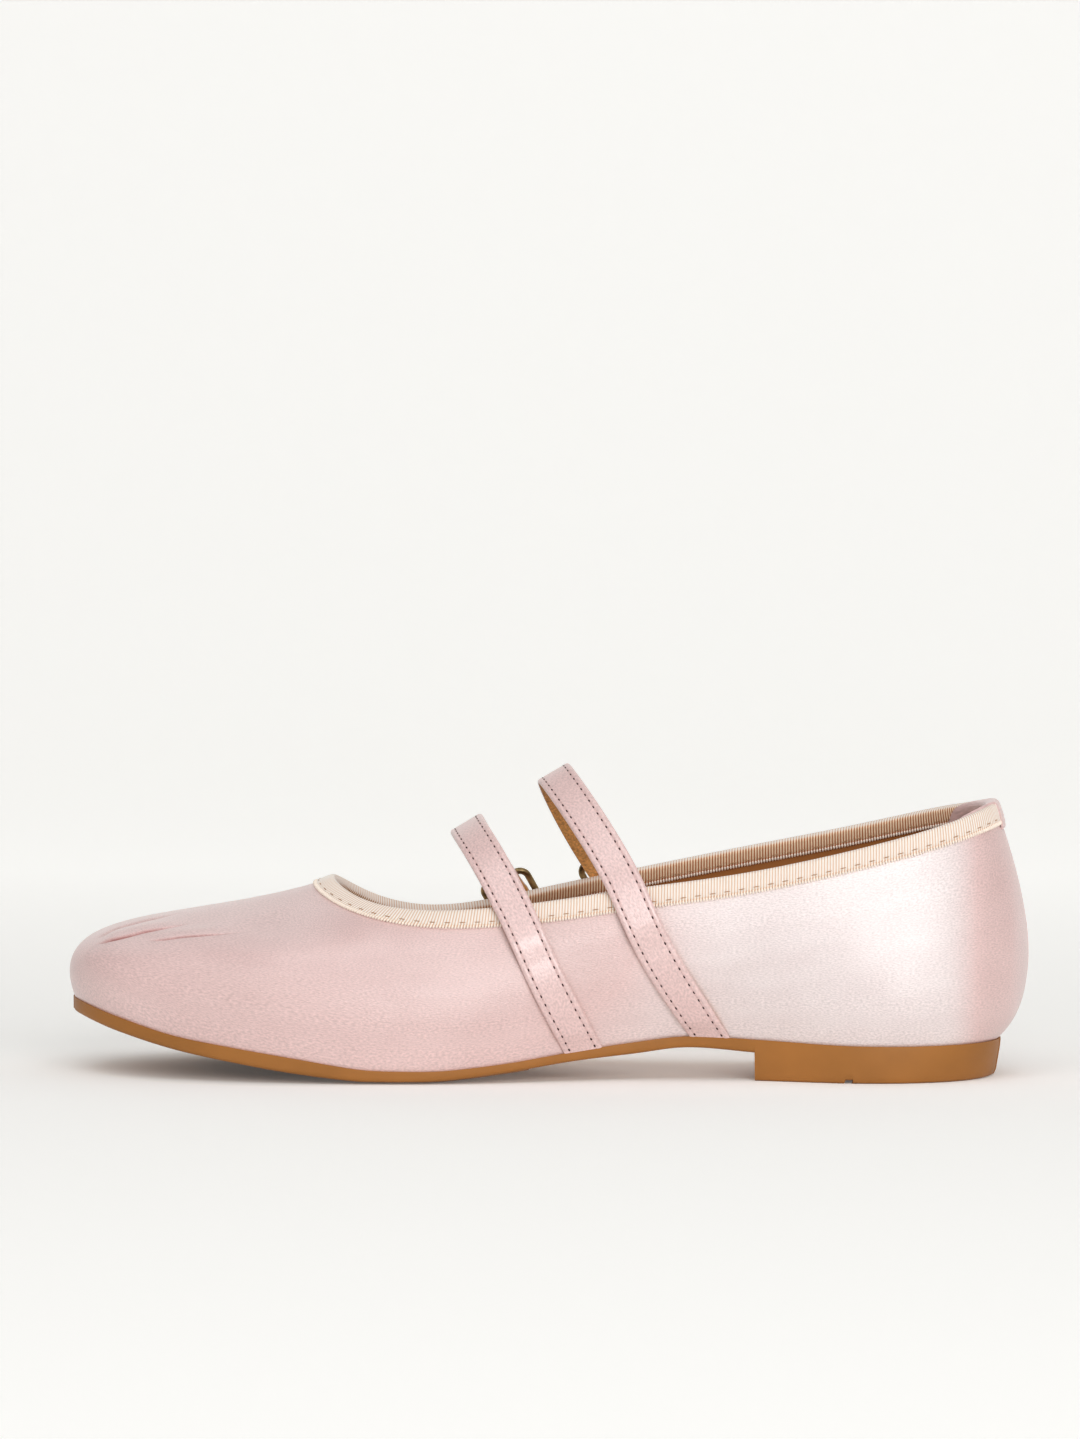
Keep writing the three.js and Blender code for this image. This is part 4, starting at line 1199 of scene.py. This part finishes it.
def place_camera():
    """The camera at the photo's angle: a little ahead of square and a little above."""
    yaw, tilt, distance = math.radians(4), math.radians(6), 1.6
    ahead = Vector((math.sin(yaw) * math.cos(tilt), -math.cos(yaw) * math.cos(tilt), -math.sin(tilt)))
    right = ahead.cross(Vector((0, 0, 1))).normalized()
    place = ahead * -distance
    aim = right.cross(ahead) * 0.0912 - right * 0.0018
    clear_selection()
    bpy.ops.object.camera_add(location=place)
    camera = bpy.context.object
    camera.name = "photo_camera"
    camera.data.sensor_width = 36
    camera.data.lens = 153.96
    camera.rotation_euler = (aim - place).to_track_quat("-Z", "Y").to_euler()
    bpy.context.scene.camera = camera


def make_stage(props):
    scene = bpy.context.scene
    scene.view_settings.view_transform = "Standard"
    scene.world = bpy.data.worlds.new("studio")
    scene.world.use_nodes = True
    feed(scene.world.node_tree.nodes["Background"], {"Color": (1.0, 0.995, 0.985, 1),
                                                     "Strength": props.world_light})
    backdrop = make_sweep(props)
    heel = (-0.05, 0.03, 0.035)
    lamps = [area_light("low_softbox", (-1.12, 2.28, 0.34), heel, (0.9, 0.4), props.low_light),
             area_light("key_softbox", (-0.85, 2.74, 1.06), heel, (1.9, 1.05), props.key_light),
             area_light("top_softbox", (0.0, 0.8, 1.45), (0.0, 0, 0.03), (1.3, 1.0), props.top_light)]
    place_camera()


def colour_prop(name, description, default):
    return bpy.props.FloatVectorProperty(name=name, description=description, default=default, size=3,
                                         min=0, max=1, subtype="COLOR")


def pitch_prop(name, description, default):
    return bpy.props.FloatProperty(name=name, description=description, default=default, min=default / 2,
                                   max=default * 2, precision=5, unit="LENGTH")


def power_prop(name, description, default):
    return bpy.props.FloatProperty(name=name, description=description, default=default, min=0, max=200,
                                   unit="POWER")


def share_prop(name, description, default, top):
    return bpy.props.FloatProperty(name=name, description=description, default=default, min=0, max=top,
                                   subtype="FACTOR")


class FlatShoeSettings(bpy.types.PropertyGroup):
    satin: colour_prop("Satin", "Colour of the satin of the upper and the straps", (0.745, 0.53, 0.508))
    # The groove colour is painted shade in the stitch grooves; the creases of the folds take a darker
    # painted shade made from it.
    groove: colour_prop("Groove", "Colour of the stitch grooves of the straps", (0.66, 0.36, 0.33))
    ribbon: colour_prop("Ribbon", "Colour of the ridges of the topline ribbon", (0.86, 0.80, 0.735))
    # The ribbon shade colour is painted shade between the ridges; the inner ribbon colours are the warmer
    # painted shade of the ribbon inside the shoe.
    ribbon_shade: colour_prop("Ribbon shade", "Colour between the ridges of the ribbon", (0.68, 0.43, 0.29))
    inner_ribbon: colour_prop("Inner ribbon", "Colour of the ridges inside the shoe", (1.0, 0.84, 0.60))
    inner_ribbon_shade: colour_prop("Inner ribbon shade", "Colour between the ridges inside the shoe",
                                    (0.44, 0.13, 0.035))
    picot: colour_prop("Looped edge", "Colour of the loops along the ribbon's edges", (1.0, 0.88, 0.765))
    leather: colour_prop("Lining", "Colour of the lining and the insole", (0.42, 0.17, 0.055))
    suede: colour_prop("Backing", "Colour of the backing of the straps", (0.78, 0.37, 0.11))
    rubber: colour_prop("Rubber", "Colour of the sole", (0.345, 0.138, 0.030))
    brass: colour_prop("Brass", "Colour of the buckles", (0.30, 0.21, 0.10))
    tan_thread: colour_prop("Ribbon thread", "Colour of the ribbon's stitches", (0.45, 0.24, 0.12))
    # The needle hole colour is painted shade in the holes.
    needle_hole_shade: colour_prop("Needle holes", "Colour of the straps' needle holes", (0.035, 0.009, 0.010))
    floor: colour_prop("Floor", "Colour of the studio paper", (0.93, 0.925, 0.905))
    fold_depth: share_prop("Fold depth", "Depth of the folds at the toe, as a share", 1.0, 2)
    rib_pitch: pitch_prop("Rib pitch", "Distance between the ribbon's ribs", 0.00075)
    ribbon_stitch_pitch: pitch_prop("Ribbon stitches", "Distance between the ribbon's stitches", 0.00375)
    strap_stitch_pitch: pitch_prop("Strap stitches", "Distance between the straps' needle holes", 0.0025)
    world_light: share_prop("Room light", "Strength of the light all round", 0.42, 3)
    floor_glow: share_prop("Floor glow", "Strength of the light that the studio paper gives off", 0.10, 2)
    key_light: power_prop("Key light", "Power of the softbox at the heel side", 36.5)
    low_light: power_prop("Low light", "Power of the low softbox at the heel", 3.5)
    top_light: power_prop("Top light", "Power of the softbox above the shoe", 7.2)


class SHOE_OT_upper(bpy.types.Operator):
    """Lays the folded satin over the last"""
    bl_idname = "shoe.upper"
    bl_label = "Satin upper"

    def execute(self, context):
        make_upper(context.scene.flat_shoe)
        return {"FINISHED"}


class SHOE_OT_lining(bpy.types.Operator):
    """Lines the upper with leather"""
    bl_idname = "shoe.lining"
    bl_label = "Lining"

    def execute(self, context):
        make_lining(context.scene.flat_shoe)
        return {"FINISHED"}


class SHOE_OT_binding(bpy.types.Operator):
    """Folds the ribbed ribbon over the topline and stitches it"""
    bl_idname = "shoe.binding"
    bl_label = "Topline ribbon"

    def execute(self, context):
        make_binding(context.scene.flat_shoe)
        return {"FINISHED"}


class SHOE_OT_back_tab(bpy.types.Operator):
    """Folds the satin tab over the back of the topline"""
    bl_idname = "shoe.back_tab"
    bl_label = "Back tab"

    def execute(self, context):
        make_tab(context.scene.flat_shoe)
        return {"FINISHED"}


class SHOE_OT_sole(bpy.types.Operator):
    """Moulds the rubber sole with its heel"""
    bl_idname = "shoe.sole"
    bl_label = "Sole"

    def execute(self, context):
        make_sole(context.scene.flat_shoe)
        return {"FINISHED"}


class SHOE_OT_insole(bpy.types.Operator):
    """Lays the insole into the shoe"""
    bl_idname = "shoe.insole"
    bl_label = "Insole"

    def execute(self, context):
        make_insole(context.scene.flat_shoe)
        return {"FINISHED"}


class SHOE_OT_straps(bpy.types.Operator):
    """Leads the two straps over the instep and stitches them"""
    bl_idname = "shoe.straps"
    bl_label = "Straps"

    def execute(self, context):
        make_straps(context.scene.flat_shoe)
        return {"FINISHED"}


class SHOE_OT_buckles(bpy.types.Operator):
    """Bends the two buckles and their prongs"""
    bl_idname = "shoe.buckles"
    bl_label = "Buckles"

    def execute(self, context):
        make_buckles(context.scene.flat_shoe)
        return {"FINISHED"}


class SHOE_OT_stage(bpy.types.Operator):
    """Sets the floor, the lights and the camera"""
    bl_idname = "shoe.stage"
    bl_label = "Stage"

    def execute(self, context):
        make_stage(context.scene.flat_shoe)
        return {"FINISHED"}


OPERATORS = [SHOE_OT_upper, SHOE_OT_lining, SHOE_OT_binding, SHOE_OT_back_tab, SHOE_OT_sole, SHOE_OT_insole,
             SHOE_OT_straps, SHOE_OT_buckles, SHOE_OT_stage]


class SHOE_PT_panel(bpy.types.Panel):
    """The steps of the shoe and its settings"""
    bl_idname = "SHOE_PT_panel"
    bl_label = "Ballet flat"
    bl_space_type = "VIEW_3D"
    bl_region_type = "UI"
    bl_category = "Ballet flat"

    def draw(self, context):
        for step in OPERATORS:
            self.layout.operator(step.bl_idname)
        for key in FlatShoeSettings.__annotations__:
            self.layout.prop(context.scene.flat_shoe, key)


CLASSES = [FlatShoeSettings, *OPERATORS, SHOE_PT_panel]


def register():
    for made in CLASSES:
        bpy.utils.register_class(made)
    bpy.types.Scene.flat_shoe = bpy.props.PointerProperty(type=FlatShoeSettings)


def unregister():
    del bpy.types.Scene.flat_shoe
    for made in reversed(CLASSES):
        bpy.utils.unregister_class(made)


def main():
    register()
    bpy.ops.shoe.upper()
    bpy.ops.shoe.lining()
    bpy.ops.shoe.binding()
    bpy.ops.shoe.back_tab()
    bpy.ops.shoe.sole()
    bpy.ops.shoe.insole()
    bpy.ops.shoe.straps()
    bpy.ops.shoe.buckles()
    bpy.ops.shoe.stage()


if __name__ == "__main__":
    main()
